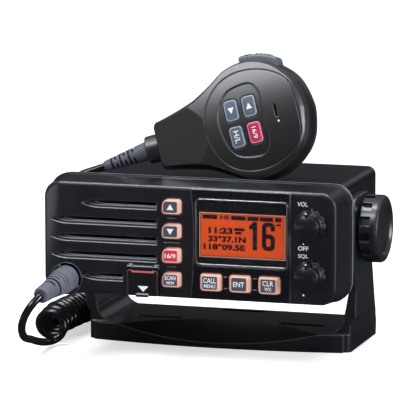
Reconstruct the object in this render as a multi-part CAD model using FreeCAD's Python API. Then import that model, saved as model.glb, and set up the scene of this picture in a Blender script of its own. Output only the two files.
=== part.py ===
import FreeCAD, Part
import math
import os

# VHF marine radio on a U-shaped tilt bracket, with a fist microphone on a curly cord.
# Millimetres, +X right, +Y back, +Z up. The origin is on the bracket's foot, under the tilt axis.
# The radio's own heights are counted from the tilt axis, and its front faces -Y.

# Driving dimensions: the tilt axis and the bracket.
tilt_height = 65.0
arm_clearance = 1.1
arm_thickness = 3.8
foot_step = 2.8
arm_top_rise = 19.0
jog_bottom = 15.0
jog_top = 19.0
arm_straight_from = 36.0
root_wall = 6.7
plateau_height = 9.6
skirt_low = 2.8
root_radius = 9.0
foot_front_corner = -16.6
foot_front_middle = -25.7
foot_corner = 3.5
foot_rear = 38.4
head_front = -20.5
head_rear = 11.5
slot_pitch = 80.0
slot_y = 4.0
slot_length = 26.6
slot_width = 5.0
rear_slot_y = 33.5
cell_width = 21.0
cell_rib = 3.4
cell_depth = 15.0
cell_roof = 3.6

# The front bezel and its face.
bezel_width = 165.0
bezel_height = 62.4
face_width = 159.2
face_height = 59.0
face_y = -72.4
flange_y = -52.0
bezel_rear_y = -46.0
face_corner = 8.5
flange_corner = 10.5
bezel_wall = 2.6
rim_wall = 1.4
ledge_y = -50.0
panel_proud = 0.8
panel_right = 55.0
panel_left = 1.4
panel_left_bow = 1.5

# The die-cast chassis.
chassis_width = 142.0
chassis_height = 53.0
chassis_rear_y = 46.0
chassis_corner = 4.5
chassis_wall = 2.6
rear_wall_y = 32.0
rear_wall = 4.0
fin_pitch = 7.0
fin_thick = 2.4
fin_field_left = -65.0
fin_field_right = 18.0
fin_field_half = 22.0
pocket_left = 24.0
pocket_right = 65.0
gasket_thick = 1.0
flange_thick = 3.0

# Speaker louvres: one over another, pointed at their left ends.
louvre_height = 4.0
louvre_pitch = 9.3
louvre_right = -17.6
louvre_left = -76.0
louvre_short_left = -59.0
louvre_tip = 11.0
louvre_slit = 1.6
louvre_recess = 1.6
louvre_sill = 1.3
louvre_count = 4
speaker_x = -48.0
speaker_rise = 2.0
speaker_radius = 23.0
speaker_depth = 15.0
magnet_radius = 12.0

# The display.
window_left = 3.9
window_right = 54.1
window_low = -11.2
window_high = 23.9
window_corner = 2.4
window_thick = 1.4
trim_width = 0.8
mask_thick = 0.4
lcd_left = 6.2
lcd_right = 51.9
lcd_low = -6.4
lcd_high = 16.4
lcd_thick = 2.6

# Keys. Each has a flange behind the wall and travels straight in.
key_proud = 3.0
key_draft_x = 1.4
key_draft_z = 0.45
key_gap = 0.25
key_flange = 1.0
key_flange_thick = 1.0
key_travel = 0.8
key_corner = 1.7
key_big_corner = 4.2
side_key_width = 10.6
side_key_height = 8.0
side_key_x = -9.2
top_key_margin = 10.5
scan_key_margin = 9.8
low_key_width = 11.8
low_key_height = 9.0
low_key_x = 12.6
low_key_pitch = 15.8
low_key_margin = 9.5
mat_thick = 1.0
board_thick = 1.6
board_edge_gap = 0.4
board_corner = 3.0

# The distress button and its hinged cover.
cover_left = -33.2
cover_right = -16.3
cover_low = -29.0
cover_top = -15.4
cover_thick = 1.9
cover_gap = 0.3
cover_hinge_rise = -14.0
barrel_radius = 1.1
pin_radius = 0.5
barrel_left = -30.4
barrel_right = -19.1
button_width = 8.0
button_height = 6.0
button_proud = 0.6
tub_depth = 1.6
tub_margin = 2.0

# Rotary controls.
control_x = 66.4
volume_rise = 12.7
squelch_rise = -14.0
control_cap_radius = 6.3
control_skirt_radius = 8.6
control_skirt_depth = 3.2
control_front_y = -84.5
control_scallops = 12
control_gap = 0.5
spindle_radius = 3.0
pot_size = 10.0
pot_depth = 6.0
running_gap = 0.05

# Side tilt knobs and their studs.
knob_radius = 18.2
knob_depth = 11.8
knob_grips = 13
grip_width = 5.0
grip_depth = 2.2
grip_length = 6.4
stud_radius = 3.0
stud_reach = 10.0
washer_radius = 13.0
washer_gap = 0.1

# Fasteners.
screw_radius = 1.45
screw_head_radius = 2.7
screw_head = 2.0
screw_length = 8.0
seat_gap = 0.15

# Main board and what stands on it.
board_rise = -15.0
board_half = 62.0
board_front_y = -40.0
board_back_y = 26.0
post_x = 56.0
shield_left = -50.0
shield_right = 8.0
shield_front = -30.0
shield_back = 8.0
shield_height = 11.0
shield_wall = 0.5
amplifier_left = -34.0
amplifier_right = 14.0
amplifier_depth = 11.0
amplifier_height = 9.0
ear_reach = 8.0
ear_depth = 3.0

# Antenna socket and cable grommets on the back.
socket_x = 44.5
socket_rise = 3.0
socket_flange = 25.4
socket_flange_thick = 2.2
socket_hole_half = 9.1
socket_radius = 7.94
socket_length = 14.7
socket_bore = 5.3
contact_bore = 1.95
grommet_rise = -16.0
grommet_spacing = 22.0
grommet_bore = 2.6
grommet_radius = 4.4
grommet_lip = 1.4

# Cord, its boots and the collar in the panel.
cord_diameter = 4.2
coil_diameter = 18.6
boot_base_x = -67.3
boot_base_rise = -22.1
boot_base_radius = 6.9
boot_tip_radius = 4.2
boot_length = 28.4
boot_grooves = 4
collar_radius = 8.6

# Fist microphone, in its own frame: u along its length, y through it, v across it.
mic_x = 22.5
mic_y = -26.0
mic_seat = 31.95
mic_roll = 17.0
mic_lean = 12.0
mic_end = 33.7
mic_heel = -54.0
mic_half_width = 32.4
mic_heel_half = 13.0
mic_half_depth = 13.5
mic_wall = 2.2
plate_left = -20.5
plate_right = 27.4
plate_half = 26.4
mic_crown = 95.0
crown_drop = 1.0
plate_thick = 1.6
plate_gap = 0.2
pad_left = -14.0
pad_right = 8.0
pad_half = 19.4
pad_recess = 0.7
mic_key_u = -2.8
mic_key_pitch_u = 10.0
mic_key_pitch_v = 14.4
mic_key_width = 7.2
mic_key_height = 11.2
mic_key_proud = 0.7
mic_key_travel = 0.6
talk_left = 0.6
talk_right = 20.8
talk_half_depth = 6.0
talk_proud = 2.7
talk_inner = 22.0
talk_gap = 0.4
mic_board_left = -22.0
mic_board_right = 24.0
mic_board_half = 17.0
mic_board_corner = 4.0
mic_slot_u = 15.8
mic_slot_v = 1.3
mic_boot_length = 26.0
mic_boot_radius = 5.2
mic_boot_tip_radius = 2.75
mic_boot_droop = 0.085
mic_collar_radius = 7.5
mic_collar_length = 6.0
mic_collar_sunk = 1.6
hanger_radius = 8.0
hanger_neck_radius = 3.6
hanger_height = 6.5

# Where things lie that follow from the sizes above.
V = FreeCAD.Vector
along_x, along_y, along_z = V(1, 0, 0), V(0, 1, 0), V(0, 0, 1)
inner_y = face_y + bezel_wall
panel_y = face_y - panel_proud
key_back_y = inner_y + seat_gap + key_flange_thick
mat_y = key_back_y + key_travel + 0.1
control_board_y = mat_y + mat_thick + 0.1
pot_y = control_board_y + board_thick
chassis_flange_y = ledge_y + gasket_thick
board_z = tilt_height + board_rise
mic_key_back_y = -mic_half_depth + plate_thick + seat_gap + crown_drop
chassis_low = tilt_height - chassis_height / 2
mic_centre = (mic_x, mic_y, tilt_height + chassis_height / 2 + mic_seat)
top_key_rise = face_height / 2 - top_key_margin
low_key_rise = low_key_margin - face_height / 2
side_key_pitch = (top_key_rise - scan_key_margin + face_height / 2) / 3
board_half_height = face_height / 2 - bezel_wall - board_edge_gap
arm_inner_half = chassis_width / 2 + arm_clearance
arm_outer_half = arm_inner_half + arm_thickness
foot_outer_half = arm_outer_half - foot_step
arm_lower_inner_half = arm_outer_half - root_wall
chassis_inner_low = chassis_low + chassis_wall


def block(x0, x1, y0, y1, z0, z1):
    """A box between two corners."""
    return Part.makeBox(x1 - x0, y1 - y0, z1 - z0, V(x0, y0, z0))


def rod(radius, start, direction, length):
    """A cylinder from a start point along a direction."""
    return Part.makeCylinder(radius, length, start, direction)


def rod_y(radius, x, z, y0, y1):
    return rod(radius, V(x, y0, z), along_y, y1 - y0)


def rounded(x0, x1, z0, z1, radius, y, top_left=None):
    """A rounded rectangle's wire in the plane at y; the top left corner may have its own radius."""
    tl = radius if top_left is None else top_left
    c = math.cos(math.radians(45))

    def corner(cx, cz, r, a):
        p = [V(cx + r * math.cos(math.radians(t)), y, cz + r * math.sin(math.radians(t)))
             for t in (a, a + 45, a + 90)]
        return Part.Arc(*p).toShape()

    edges = [
        Part.makeLine(V(x0 + radius, y, z0), V(x1 - radius, y, z0)),
        corner(x1 - radius, z0 + radius, radius, -90),
        Part.makeLine(V(x1, y, z0 + radius), V(x1, y, z1 - radius)),
        corner(x1 - radius, z1 - radius, radius, 0),
        Part.makeLine(V(x1 - radius, y, z1), V(x0 + tl, y, z1)),
        corner(x0 + tl, z1 - tl, tl, 90),
        Part.makeLine(V(x0, y, z1 - tl), V(x0, y, z0 + radius)),
        corner(x0 + radius, z0 + radius, radius, 180),
    ]
    return Part.Wire(edges)


def slab(wire, depth):
    """A wire's face pushed along +Y."""
    return Part.Face(wire).extrude(V(0, depth, 0))


def centred(width, height, radius, y):
    """A rounded rectangle about the tilt axis, in the plane at y."""
    return rounded(-width / 2, width / 2, tilt_height - height / 2, tilt_height + height / 2, radius, y)


def bar(x0, x1, z0, z1, radius, y0, y1, top_left=None):
    """A rounded bar through y, with its heights counted from the tilt axis."""
    return slab(rounded(x0, x1, tilt_height + z0, tilt_height + z1, radius, y0, top_left), y1 - y0)


def loft(wires):
    return Part.makeLoft(wires, True, True)


def joined(shapes):
    """Shapes fused to one clean solid."""
    whole = shapes[0].fuse(shapes[1:]) if len(shapes) > 1 else shapes[0]
    return whole.removeSplitter()


def axis_arc(p, top):
    """An arc from a profile point to the axis at height top, with its centre on the axis."""
    centre = (top ** 2 - p.x ** 2 - p.z ** 2) / (2 * (top - p.z))
    radius = top - centre
    half = math.atan2(p.x, p.z - centre) / 2 if radius > 0 else math.atan2(p.x, centre - p.z) / 2
    mid = V(abs(radius) * math.sin(half), 0, centre + radius * math.cos(half))
    return Part.Arc(p, mid, V(0, 0, top)).toShape()


def screw(head_seat, direction):
    """A pan-head screw: its head's underside is at head_seat and its shank points along direction."""
    back = V(direction).multiply(-1)
    head = rod(screw_head_radius, head_seat, back, screw_head)
    shank = rod(screw_radius, head_seat, direction, screw_length)
    return head.fuse(shank).removeSplitter()


def slot_cutter(x, y, length):
    """A slot through the foot, its length along X."""
    reach = (length - slot_width) / 2
    low, high = -1.0, plateau_height + 2
    ends = [rod(slot_width / 2, V(x + s * reach, y, low), along_z, high - low) for s in (-1, 1)]
    middle = block(x - reach, x + reach, y - slot_width / 2, y + slot_width / 2, low, high)
    return joined([middle] + ends)


def bracket_section():
    """The bracket seen from the front: a foot, and two arms that step outwards."""
    top = tilt_height + arm_top_rise
    right = [
        V(foot_outer_half, 0, 0),
        V(foot_outer_half + 0.3, 0, jog_bottom),
        V(arm_outer_half - 0.3, 0, jog_top),
        V(arm_outer_half, 0, top),
        V(arm_inner_half, 0, top),
        V(arm_inner_half, 0, arm_straight_from),
        V(arm_lower_inner_half, 0, plateau_height + root_radius),
    ]
    root = V(arm_lower_inner_half - root_radius, 0, plateau_height)
    bend = root_radius * (1 - math.cos(math.radians(45)))
    middle = V(arm_lower_inner_half - bend, 0, plateau_height + bend)
    mirror = [V(-p.x, 0, p.z) for p in right]
    edges = [Part.makeLine(a, b) for a, b in zip(right, right[1:])]
    edges.append(Part.Arc(right[-1], middle, root).toShape())
    edges.append(Part.makeLine(root, V(-root.x, 0, root.z)))
    edges.append(Part.Arc(V(-root.x, 0, root.z), V(-middle.x, 0, middle.z), mirror[-1]).toShape())
    edges += [Part.makeLine(b, a) for a, b in reversed(list(zip(mirror, mirror[1:])))]
    edges.append(Part.makeLine(mirror[0], right[0]))
    face = Part.Face(Part.Wire(edges))
    face.translate(V(0, foot_front_middle - 5, 0))
    return face.extrude(V(0, foot_rear - foot_front_middle + 10, 0))


def arm_side():
    """The arms seen from the side: a foot, a waist and a rounded head round the tilt axis."""
    top = tilt_height + arm_top_rise
    nose, brow = 6.0, 7.0
    x = -arm_outer_half - 5
    points = [
        V(x, foot_front_corner, 0),
        V(x, foot_front_corner + 2, arm_straight_from - 3),
        V(x, head_front, tilt_height - arm_top_rise),
        V(x, head_front, top - nose),
    ]
    front_arc = Part.Arc(points[-1], V(x, head_front + nose * 0.293, top - nose * 0.293),
                         V(x, head_front + nose, top)).toShape()
    back_arc = Part.Arc(V(x, head_rear - brow, top), V(x, head_rear - brow * 0.35, top - brow * 0.25),
                        V(x, head_rear, top - brow)).toShape()
    edges = [Part.makeLine(a, b) for a, b in zip(points, points[1:])]
    edges.append(front_arc)
    edges.append(Part.makeLine(V(x, head_front + nose, top), V(x, head_rear - brow, top)))
    edges.append(back_arc)
    down = [V(x, head_rear, top - brow), V(x, head_rear, tilt_height - 5),
            V(x, (head_rear + foot_rear) / 2 - 5.5, tilt_height - 22), V(x, foot_rear - 11.8, jog_top),
            V(x, foot_rear - 1.9, jog_bottom), V(x, foot_rear, 0), points[0]]
    edges += [Part.makeLine(a, b) for a, b in zip(down, down[1:])]
    return Part.Face(Part.Wire(edges)).extrude(V(-2 * x, 0, 0))


def foot_plan():
    """The foot seen from above: straight at the back and bowed at the front."""
    x = foot_outer_half + 5
    front = foot_front_corner - 0.6
    arc = Part.Arc(V(-x, front, 0), V(0, foot_front_middle, 0), V(x, front, 0)).toShape()
    edges = [arc, Part.makeLine(V(x, front, 0), V(x, foot_rear, 0)),
             Part.makeLine(V(x, foot_rear, 0), V(-x, foot_rear, 0)),
             Part.makeLine(V(-x, foot_rear, 0), V(-x, front, 0))]
    return Part.Face(Part.Wire(edges)).extrude(V(0, 0, jog_bottom * 2))


def foot_scoop():
    """A wide tilted cylinder that hollows the foot's top towards the middle of its front edge."""
    sag = plateau_height - 0.3 - skirt_low
    half = arm_lower_inner_half - root_radius
    radius = (half ** 2 + sag ** 2) / (2 * sag)
    run = slot_y - foot_front_middle + 2
    slope = math.atan2(plateau_height - skirt_low, run)
    direction = V(0, math.cos(slope), math.sin(slope))
    low = V(0, foot_front_middle, skirt_low)
    start = low - V(direction).multiply(60) + V(0, -math.sin(slope), math.cos(slope)).multiply(radius)
    return rod(radius, start, direction, 150)


def mounting_bracket():
    """U-shaped bracket: bored for the tilt studs, slotted for its fixing screws, ribbed underneath."""
    section = bracket_section()
    foot = section.common(foot_plan())
    arms = section.common(arm_side()).cut(block(-40, 40, -90, 90, -1, jog_bottom * 3))
    body = foot.common(block(-90, 90, -90, 90, 0, plateau_height + 0.01)).fuse(arms).removeSplitter()
    half = arm_lower_inner_half - root_radius
    body = body.cut(foot_scoop().common(block(-half, half, -60, 60, 0, 40)))
    cutters = [slot_cutter(s * slot_pitch / 2, slot_y, slot_length) for s in (-1, 1)]
    cutters.append(slot_cutter(0, rear_slot_y, slot_length))
    pitch = cell_width + cell_rib
    cell_y = slot_y + slot_width / 2 + cell_rib
    for i in (-2.5, -1.5, -0.5, 0.5, 1.5, 2.5):
        x = i * pitch - cell_width / 2
        cutters.append(block(x, x + cell_width, cell_y, cell_y + cell_depth, -1,
                             plateau_height - cell_roof))
    bore = stud_radius + seat_gap * 2
    cutters.append(rod(bore, V(-arm_outer_half - 5, 0, tilt_height), along_x, 2 * arm_outer_half + 10))
    for s in (-1, 1):
        inner, y = foot_outer_half - foot_corner, foot_front_corner + foot_corner - 0.4
        x0, x1 = min(s * inner, s * (inner + 10)), max(s * inner, s * (inner + 10))
        corner = block(x0, x1, y - 12, y, -1, jog_bottom)
        cutters.append(corner.cut(rod(foot_corner + 0.2, V(s * inner, y, -2), along_z, jog_bottom + 5)))
    return body.cut(cutters)


def tilt_washers():
    """Rubber friction washers between the chassis and the arms."""
    thick = arm_inner_half - chassis_width / 2 - 2 * washer_gap
    rings = []
    for x in (chassis_width / 2 + washer_gap, -arm_inner_half + washer_gap):
        ring = rod(washer_radius, V(x, 0, tilt_height), along_x, thick)
        rings.append(ring.cut(rod(stud_radius + 4 * seat_gap, V(x, 0, tilt_height), along_x, thick)))
    return Part.makeCompound(rings)


def fixing_points():
    """The four places, as x and height over the tilt axis, where screws hold the bezel."""
    x = (chassis_width + screw_head_radius * 2) / 2 + 0.5
    return [(s * x, rise) for s in (-1, 1) for rise in (20.5, -5.0)]


def chassis():
    """Die-cast box with a front flange, bosses for the tilt studs, board posts and a finned back."""
    width, height = chassis_width, chassis_height
    body = slab(centred(width, height, chassis_corner, chassis_flange_y), chassis_rear_y - chassis_flange_y)
    edges = [e for e in body.Edges if abs(e.BoundBox.YMin - chassis_rear_y) < 0.01
             and abs(e.BoundBox.YMax - chassis_rear_y) < 0.01]
    body = body.makeFillet(2.2, edges)
    rim = rim_wall + 0.3
    flange = slab(centred(bezel_width - 2 * rim - 1.2, bezel_height - 2 * rim - 1.2,
                          flange_corner - rim, chassis_flange_y), flange_thick)
    body = body.fuse(flange)
    inner = slab(centred(width - 2 * chassis_wall, height - 2 * chassis_wall,
                         chassis_corner - 1, chassis_flange_y - 1), rear_wall_y - chassis_flange_y + 1)
    body = body.cut(inner)
    adds = []
    for s in (-1, 1):
        x = s * width / 2 if s < 0 else width / 2 - stud_reach
        adds.append(rod(stud_radius * 2.2, V(x, 0, tilt_height), along_x, stud_reach))
        for y in (board_front_y + 6, board_back_y - 6):
            adds.append(rod(3.4, V(s * post_x, y, chassis_low + 1), along_z,
                            board_z - chassis_low - 1))
    body = body.fuse(adds)
    cutters = []
    bore = stud_radius + running_gap
    cutters.append(rod(bore, V(-width / 2 - 1, 0, tilt_height), along_x, stud_reach + 2))
    cutters.append(rod(bore, V(width / 2 - stud_reach - 1, 0, tilt_height), along_x, stud_reach + 2))
    for s in (-1, 1):
        for y in (board_front_y + 6, board_back_y - 6):
            cutters.append(rod(screw_radius + running_gap, V(s * post_x, y, board_z - screw_length),
                               along_z, screw_length + 1))
    for x, rise in fixing_points():
        cutters.append(rod_y(screw_radius + running_gap, x, tilt_height + rise,
                             chassis_flange_y - 1, chassis_flange_y + flange_thick + 1))
    fin_y = rear_wall_y + rear_wall
    gap = fin_pitch - fin_thick
    count = int((fin_field_right - fin_field_left) / fin_pitch)
    for i in range(count):
        x = fin_field_left + i * fin_pitch
        cutters.append(block(x, x + gap, fin_y, chassis_rear_y + 1,
                             tilt_height - fin_field_half, tilt_height + fin_field_half))
    cutters.append(bar(pocket_left, pocket_right, -fin_field_half, fin_field_half, 3.0,
                       fin_y, chassis_rear_y + 1))
    cutters.append(rod_y(socket_radius - 1, socket_x, tilt_height + socket_rise,
                         rear_wall_y - 1, fin_y + 1))
    for s in (-1, 1):
        for t in (-1, 1):
            cutters.append(rod_y(screw_radius + running_gap, socket_x + s * socket_hole_half,
                                 tilt_height + socket_rise + t * socket_hole_half,
                                 rear_wall_y - 1, fin_y + 1))
        cutters.append(rod_y(grommet_radius + running_gap, socket_x + s * grommet_spacing / 2,
                             tilt_height + grommet_rise, rear_wall_y - 1, fin_y + 1))
    return body.cut(cutters)


def front_gasket():
    """Flat rubber ring between the bezel's ledge and the chassis flange."""
    inset = rim_wall + 0.9
    width, height = bezel_width - 2 * inset - 1.2, bezel_height - 2 * inset - 1.2
    ring = slab(centred(width, height, flange_corner - inset, ledge_y), gasket_thick)
    hole = slab(centred(width - 2.4, height - 2.4, flange_corner - inset - 1.2, ledge_y - 1),
                gasket_thick + 2)
    return ring.cut(hole)


def louvre(left, rise):
    """One louvre: a recess with a pointed left end and a sloping sill, and a slit over it, both as cutters."""
    z = tilt_height + rise
    half = louvre_height / 2

    def outline(start, h0, h1, y, right):
        tip = V(start, y, z + (h0 + h1) / 2)
        high, low = V(start + louvre_tip, y, z + h1), V(start + louvre_tip, y, z + h0)
        mid = (h1 - h0) * 0.38
        upper = V(start + louvre_tip * 0.42, y, z + (h0 + h1) / 2 + mid)
        lower = V(start + louvre_tip * 0.42, y, z + (h0 + h1) / 2 - mid)
        right_high, right_low = V(right, y, high.z), V(right, y, low.z)
        return Part.Wire([Part.Arc(tip, upper, high).toShape(), Part.makeLine(high, right_high),
                          Part.makeLine(right_high, right_low), Part.makeLine(right_low, low),
                          Part.Arc(low, lower, tip).toShape()])

    recess = loft([outline(left, -half, half, face_y - 1, louvre_right),
                   outline(left, -half, half, face_y, louvre_right),
                   outline(left + louvre_sill, louvre_sill - half, half, face_y + louvre_recess, louvre_right)])
    slit = Part.Face(outline(left + louvre_tip * 0.6, half - louvre_slit - 0.3, half - 0.3, face_y,
                             louvre_right)).extrude(V(0, inner_y + 1 - face_y, 0))
    return [recess, slit]


def raised_panel():
    """The middle of the face stands proud, and its left edge is bowed."""
    low, high = tilt_height - face_height / 2 + 0.6, tilt_height + face_height / 2 - 0.6
    y = panel_y
    bow = V(panel_left + panel_left_bow, y, tilt_height + 2)
    edges = [Part.Arc(V(panel_left, y, low), bow, V(panel_left, y, high)).toShape(),
             Part.makeLine(V(panel_left, y, high), V(panel_right, y, high)),
             Part.makeLine(V(panel_right, y, high), V(panel_right, y, low)),
             Part.makeLine(V(panel_right, y, low), V(panel_left, y, low))]
    return Part.Face(Part.Wire(edges)).extrude(V(0, panel_proud + 1, 0))


def side_keys():
    """The left column's keys: name, x, height over the tilt axis."""
    names = ("up_key", "down_key", "channel_key", "scan_key")
    return [(n, side_key_x, top_key_rise - i * side_key_pitch) for i, n in enumerate(names)]


def low_keys():
    """The keys under the display: name, x, height over the tilt axis."""
    names = ("call_key", "enter_key", "clear_key")
    return [(n, low_key_x + i * low_key_pitch, low_key_rise) for i, n in enumerate(names)]


def key_cutters():
    """Openings for all keys, a running gap wider than the keys."""
    cutters = []
    for keys, w, h, tl in ((side_keys(), side_key_width, side_key_height, key_big_corner),
                           (low_keys(), low_key_width, low_key_height, None)):
        for _, x, rise in keys:
            g = key_gap
            cutters.append(bar(x - w / 2 - g, x + w / 2 + g, rise - h / 2 - g, rise + h / 2 + g,
                               key_corner + g, panel_y - 1, inner_y + 1, None if tl is None else tl + g))
    return cutters


def key_cap(x, rise, width, height, front_y, top_left=None):
    """A key: a shank through the wall, a crown that narrows towards its front, and a flange behind."""
    z = tilt_height + rise
    w, h = width / 2, height / 2
    soft = 0.35
    foot_y = front_y + key_proud - 0.4
    tl = key_corner if top_left is None else top_left
    shank = bar(x - w, x + w, rise - h, rise + h, key_corner, foot_y, key_back_y, tl)
    rings = []
    for y, dx, dz in ((foot_y, 0, 0), (front_y + soft, key_draft_x - soft / 2, key_draft_z - soft / 4),
                      (front_y + soft * 0.3, key_draft_x + soft * 0.3, key_draft_z + soft * 0.3),
                      (front_y, key_draft_x + soft, key_draft_z + soft)):
        shrink = (w - dx) / w
        rings.append(rounded(x - w + dx, x + w - dx, z - h + dz, z + h - dz, key_corner * shrink, y, tl * shrink))
    crown = shank.fuse(loft(rings))
    f = key_flange
    flange = bar(x - width / 2 - f, x + width / 2 + f, rise - height / 2 - f, rise + height / 2 + f,
                 key_corner, key_back_y - key_flange_thick, key_back_y)
    return crown.fuse(flange).removeSplitter()


def front_bezel():
    """Moulded front: a rounded shell with louvres, a window, key openings and control holes."""
    w, h, c = bezel_width, bezel_height, flange_corner
    soft = 1.4
    outer = loft([
        centred(face_width - 2 * soft, face_height - 2 * soft, face_corner - soft, face_y),
        centred(face_width - 0.5, face_height - 0.5, face_corner, face_y + 0.5),
        centred(face_width + 0.2, face_height + 0.2, face_corner, face_y + soft),
        centred(w - 1.6, h - 1.0, c - 0.6, flange_y - 2.6),
        centred(w, h, c, flange_y - 1.2),
        centred(w, h, c, flange_y + 1.2),
        centred(w - 1.6, h - 1.6, c - 0.8, bezel_rear_y),
    ])
    wall = 2 * bezel_wall
    cavity = loft([
        centred(face_width - wall, face_height - wall, face_corner - bezel_wall, inner_y),
        centred(w - wall - 2.4, h - wall - 2.4, c - bezel_wall - 1, ledge_y + 0.01),
    ])
    rim = 2 * rim_wall
    rear = slab(centred(w - rim - 1.2, h - rim - 1.2, c - rim_wall, ledge_y),
                bezel_rear_y - ledge_y + 1)
    body = outer.cut([cavity, rear]).fuse(raised_panel()).removeSplitter()
    adds = [rod_y(screw_head_radius + 0.1, x, tilt_height + rise, inner_y - 0.5,
                  chassis_flange_y - gasket_thick) for x, rise in fixing_points()]
    hinge_z = tilt_height + cover_hinge_rise
    lug = barrel_radius + 0.1
    for x0, x1 in ((cover_left, barrel_left - cover_gap), (barrel_right + cover_gap, cover_right)):
        hub_y = face_y - cover_gap / 2 - barrel_radius
        adds.append(block(x0, x1, hub_y, face_y + 1, hinge_z - lug, hinge_z + lug))
        adds.append(rod(lug, V(x0, hub_y, hinge_z), along_x, x1 - x0))
    body = body.fuse(adds)
    cutters = key_cutters()
    for x, rise in fixing_points():
        cutters.append(rod_y(screw_radius + running_gap, x, tilt_height + rise,
                             chassis_flange_y - screw_length - 1, chassis_flange_y + 1))
    top_rise = louvre_pitch * 2
    for i in range(louvre_count):
        left = louvre_short_left if i == 0 else louvre_left
        cutters += louvre(left, top_rise - i * louvre_pitch)
    short = louvre(louvre_short_left, top_rise - (louvre_count + 0.18) * louvre_pitch)
    keep = block(louvre_left, cover_left - 3.0, face_y - 2, inner_y + 2, chassis_low - 5, tilt_height)
    cutters += [s.common(keep) for s in short]
    g = seat_gap
    cutters.append(bar(window_left - g, window_right + g, window_low - g, window_high + g,
                       window_corner, panel_y - 1, panel_y + window_thick + mask_thick))
    cutters.append(bar(lcd_left, lcd_right, lcd_low, lcd_high, 0.8, panel_y, inner_y + 1))
    for rise in (volume_rise, squelch_rise):
        cutters.append(rod_y(spindle_radius + 0.9, control_x, tilt_height + rise, face_y - 1, inner_y + 1))
    cutters.append(rod_y(collar_radius, boot_base_x, tilt_height + boot_base_rise,
                         face_y - 2, inner_y + 1))
    cx, cz = (cover_left + cover_right) / 2, (cover_low + cover_top) / 2
    bw, bh = button_width / 2, button_height / 2
    t = tub_margin
    cutters.append(bar(cx - bw - t, cx + bw + t, cz - bh - t, cz + bh + t, 1.5,
                       face_y - 0.5, face_y + tub_depth))
    cutters.append(bar(cx - bw - key_gap, cx + bw + key_gap, cz - bh - key_gap, cz + bh + key_gap,
                       1.2, face_y, inner_y + 1))
    cutters.append(rod(pin_radius, V(cover_left - 1, face_y - cover_gap / 2 - barrel_radius, hinge_z),
                       along_x, cover_right - cover_left + 2))
    return body.cut(cutters)


def display_trim():
    """Thin bright frame round the window."""
    y = panel_y - 0.25
    depth = window_thick + mask_thick + 0.25
    outer = bar(window_left, window_right, window_low, window_high, window_corner, y, y + depth)
    t = trim_width
    hole = bar(window_left + t, window_right - t, window_low + t, window_high - t, window_corner - t,
               y - 1, y + depth + 1)
    return outer.cut(hole)


def display_window():
    """Clear lens in the trim."""
    t = trim_width + 0.05
    return bar(window_left + t, window_right - t, window_low + t, window_high - t,
               window_corner - trim_width, panel_y + 0.2, panel_y + window_thick)


def display_mask():
    """Black printed sheet behind the lens, open over the liquid crystal."""
    t = trim_width + 0.05
    y = panel_y + window_thick
    sheet = bar(window_left + t, window_right - t, window_low + t, window_high - t,
                window_corner - trim_width, y, y + mask_thick)
    return sheet.cut(bar(lcd_left, lcd_right, lcd_low, lcd_high, 0.8, y - 1, y + 1))


def lcd_module():
    """Liquid crystal glass in its opening, on a backlight block that rests on the control board."""
    g = 0.3
    front = panel_y + window_thick + mask_thick
    glass = bar(lcd_left + g, lcd_right - g, lcd_low + g, lcd_high - g, 0.6, front, inner_y)
    block_ = bar(lcd_left - 1.2, lcd_right + 1.2, lcd_low - 1.2, lcd_high + 1.2, 0.6,
                 inner_y + 0.05, control_board_y)
    return glass.fuse(block_.cut(bar(lcd_left + 1, lcd_right - 1, lcd_low + 1, lcd_high - 1, 0.6,
                                     inner_y + lcd_thick / 2, control_board_y + 1))).fuse(
        bar(lcd_left + 2, lcd_right - 2, lcd_low + 2, lcd_high - 2, 0.6, inner_y - 0.1,
            inner_y + 0.2)).removeSplitter()


def keypad_mat():
    """Rubber contact mat behind all the keys, open round the display block."""
    left = side_key_x - side_key_width / 2 - 1.5
    right = panel_right + 0.5
    low, high = low_key_rise - low_key_height / 2 - 1.5, top_key_rise + side_key_height / 2 + 1.5
    mat = bar(left, right, low, high, 2.0, mat_y, mat_y + mat_thick)
    hole = bar(lcd_left - 1.6, lcd_right + 1.6, lcd_low - 1.6, lcd_high + 1.6, 1.0,
               mat_y - 1, mat_y + mat_thick + 1)
    return mat.cut(hole)


def display_board():
    """Control board behind the mat: it carries the display, the contacts and both potentiometers."""
    left = side_key_x - side_key_width / 2 - 2.5
    right = control_x + pot_size / 2 - 0.4
    board = bar(left, right, -board_half_height, board_half_height, board_corner, control_board_y,
                control_board_y + board_thick)
    holes = [rod_y(spindle_radius + 1.0, control_x, tilt_height + rise, control_board_y - 1,
                   control_board_y + board_thick + 1) for rise in (volume_rise, squelch_rise)]
    return board.cut(holes)


def control_knob(rise):
    """Control knob: a scalloped skirt, a domed cap and a bore for its spindle."""
    z = tilt_height + rise
    back = face_y - control_gap
    depth = back - control_front_y
    skirt = control_skirt_depth
    r, R = control_cap_radius, control_skirt_radius
    profile = [V(0, 0, 0), V(R - 0.4, 0, 0), V(R, 0, 0.5), V(R - 0.2, 0, skirt - 0.6),
               V(R - 1.0, 0, skirt), V(r + 0.5, 0, skirt + 0.4), V(r, 0, depth - 1.6)]
    edges = [Part.makeLine(a, b) for a, b in zip(profile, profile[1:])]
    edges.append(axis_arc(profile[-1], depth))
    edges.append(Part.makeLine(V(0, 0, depth), V(0, 0, 0)))
    body = Part.Face(Part.Wire(edges)).revolve(V(0, 0, 0), along_z, 360)
    notch = 1.5
    cutters = []
    for i in range(control_scallops):
        a = 2 * math.pi * (i + 0.5) / control_scallops
        cutters.append(rod(notch, V((R + 0.7) * math.cos(a), (R + 0.7) * math.sin(a), -1),
                           along_z, skirt + 1.5))
    body = body.cut(cutters)
    body = body.cut(rod(spindle_radius, V(0, 0, -1), along_z, depth - 1.5))
    turn = FreeCAD.Placement(V(control_x, back, z), FreeCAD.Rotation(along_x, 90))
    return body.transformed(turn.toMatrix())


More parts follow.
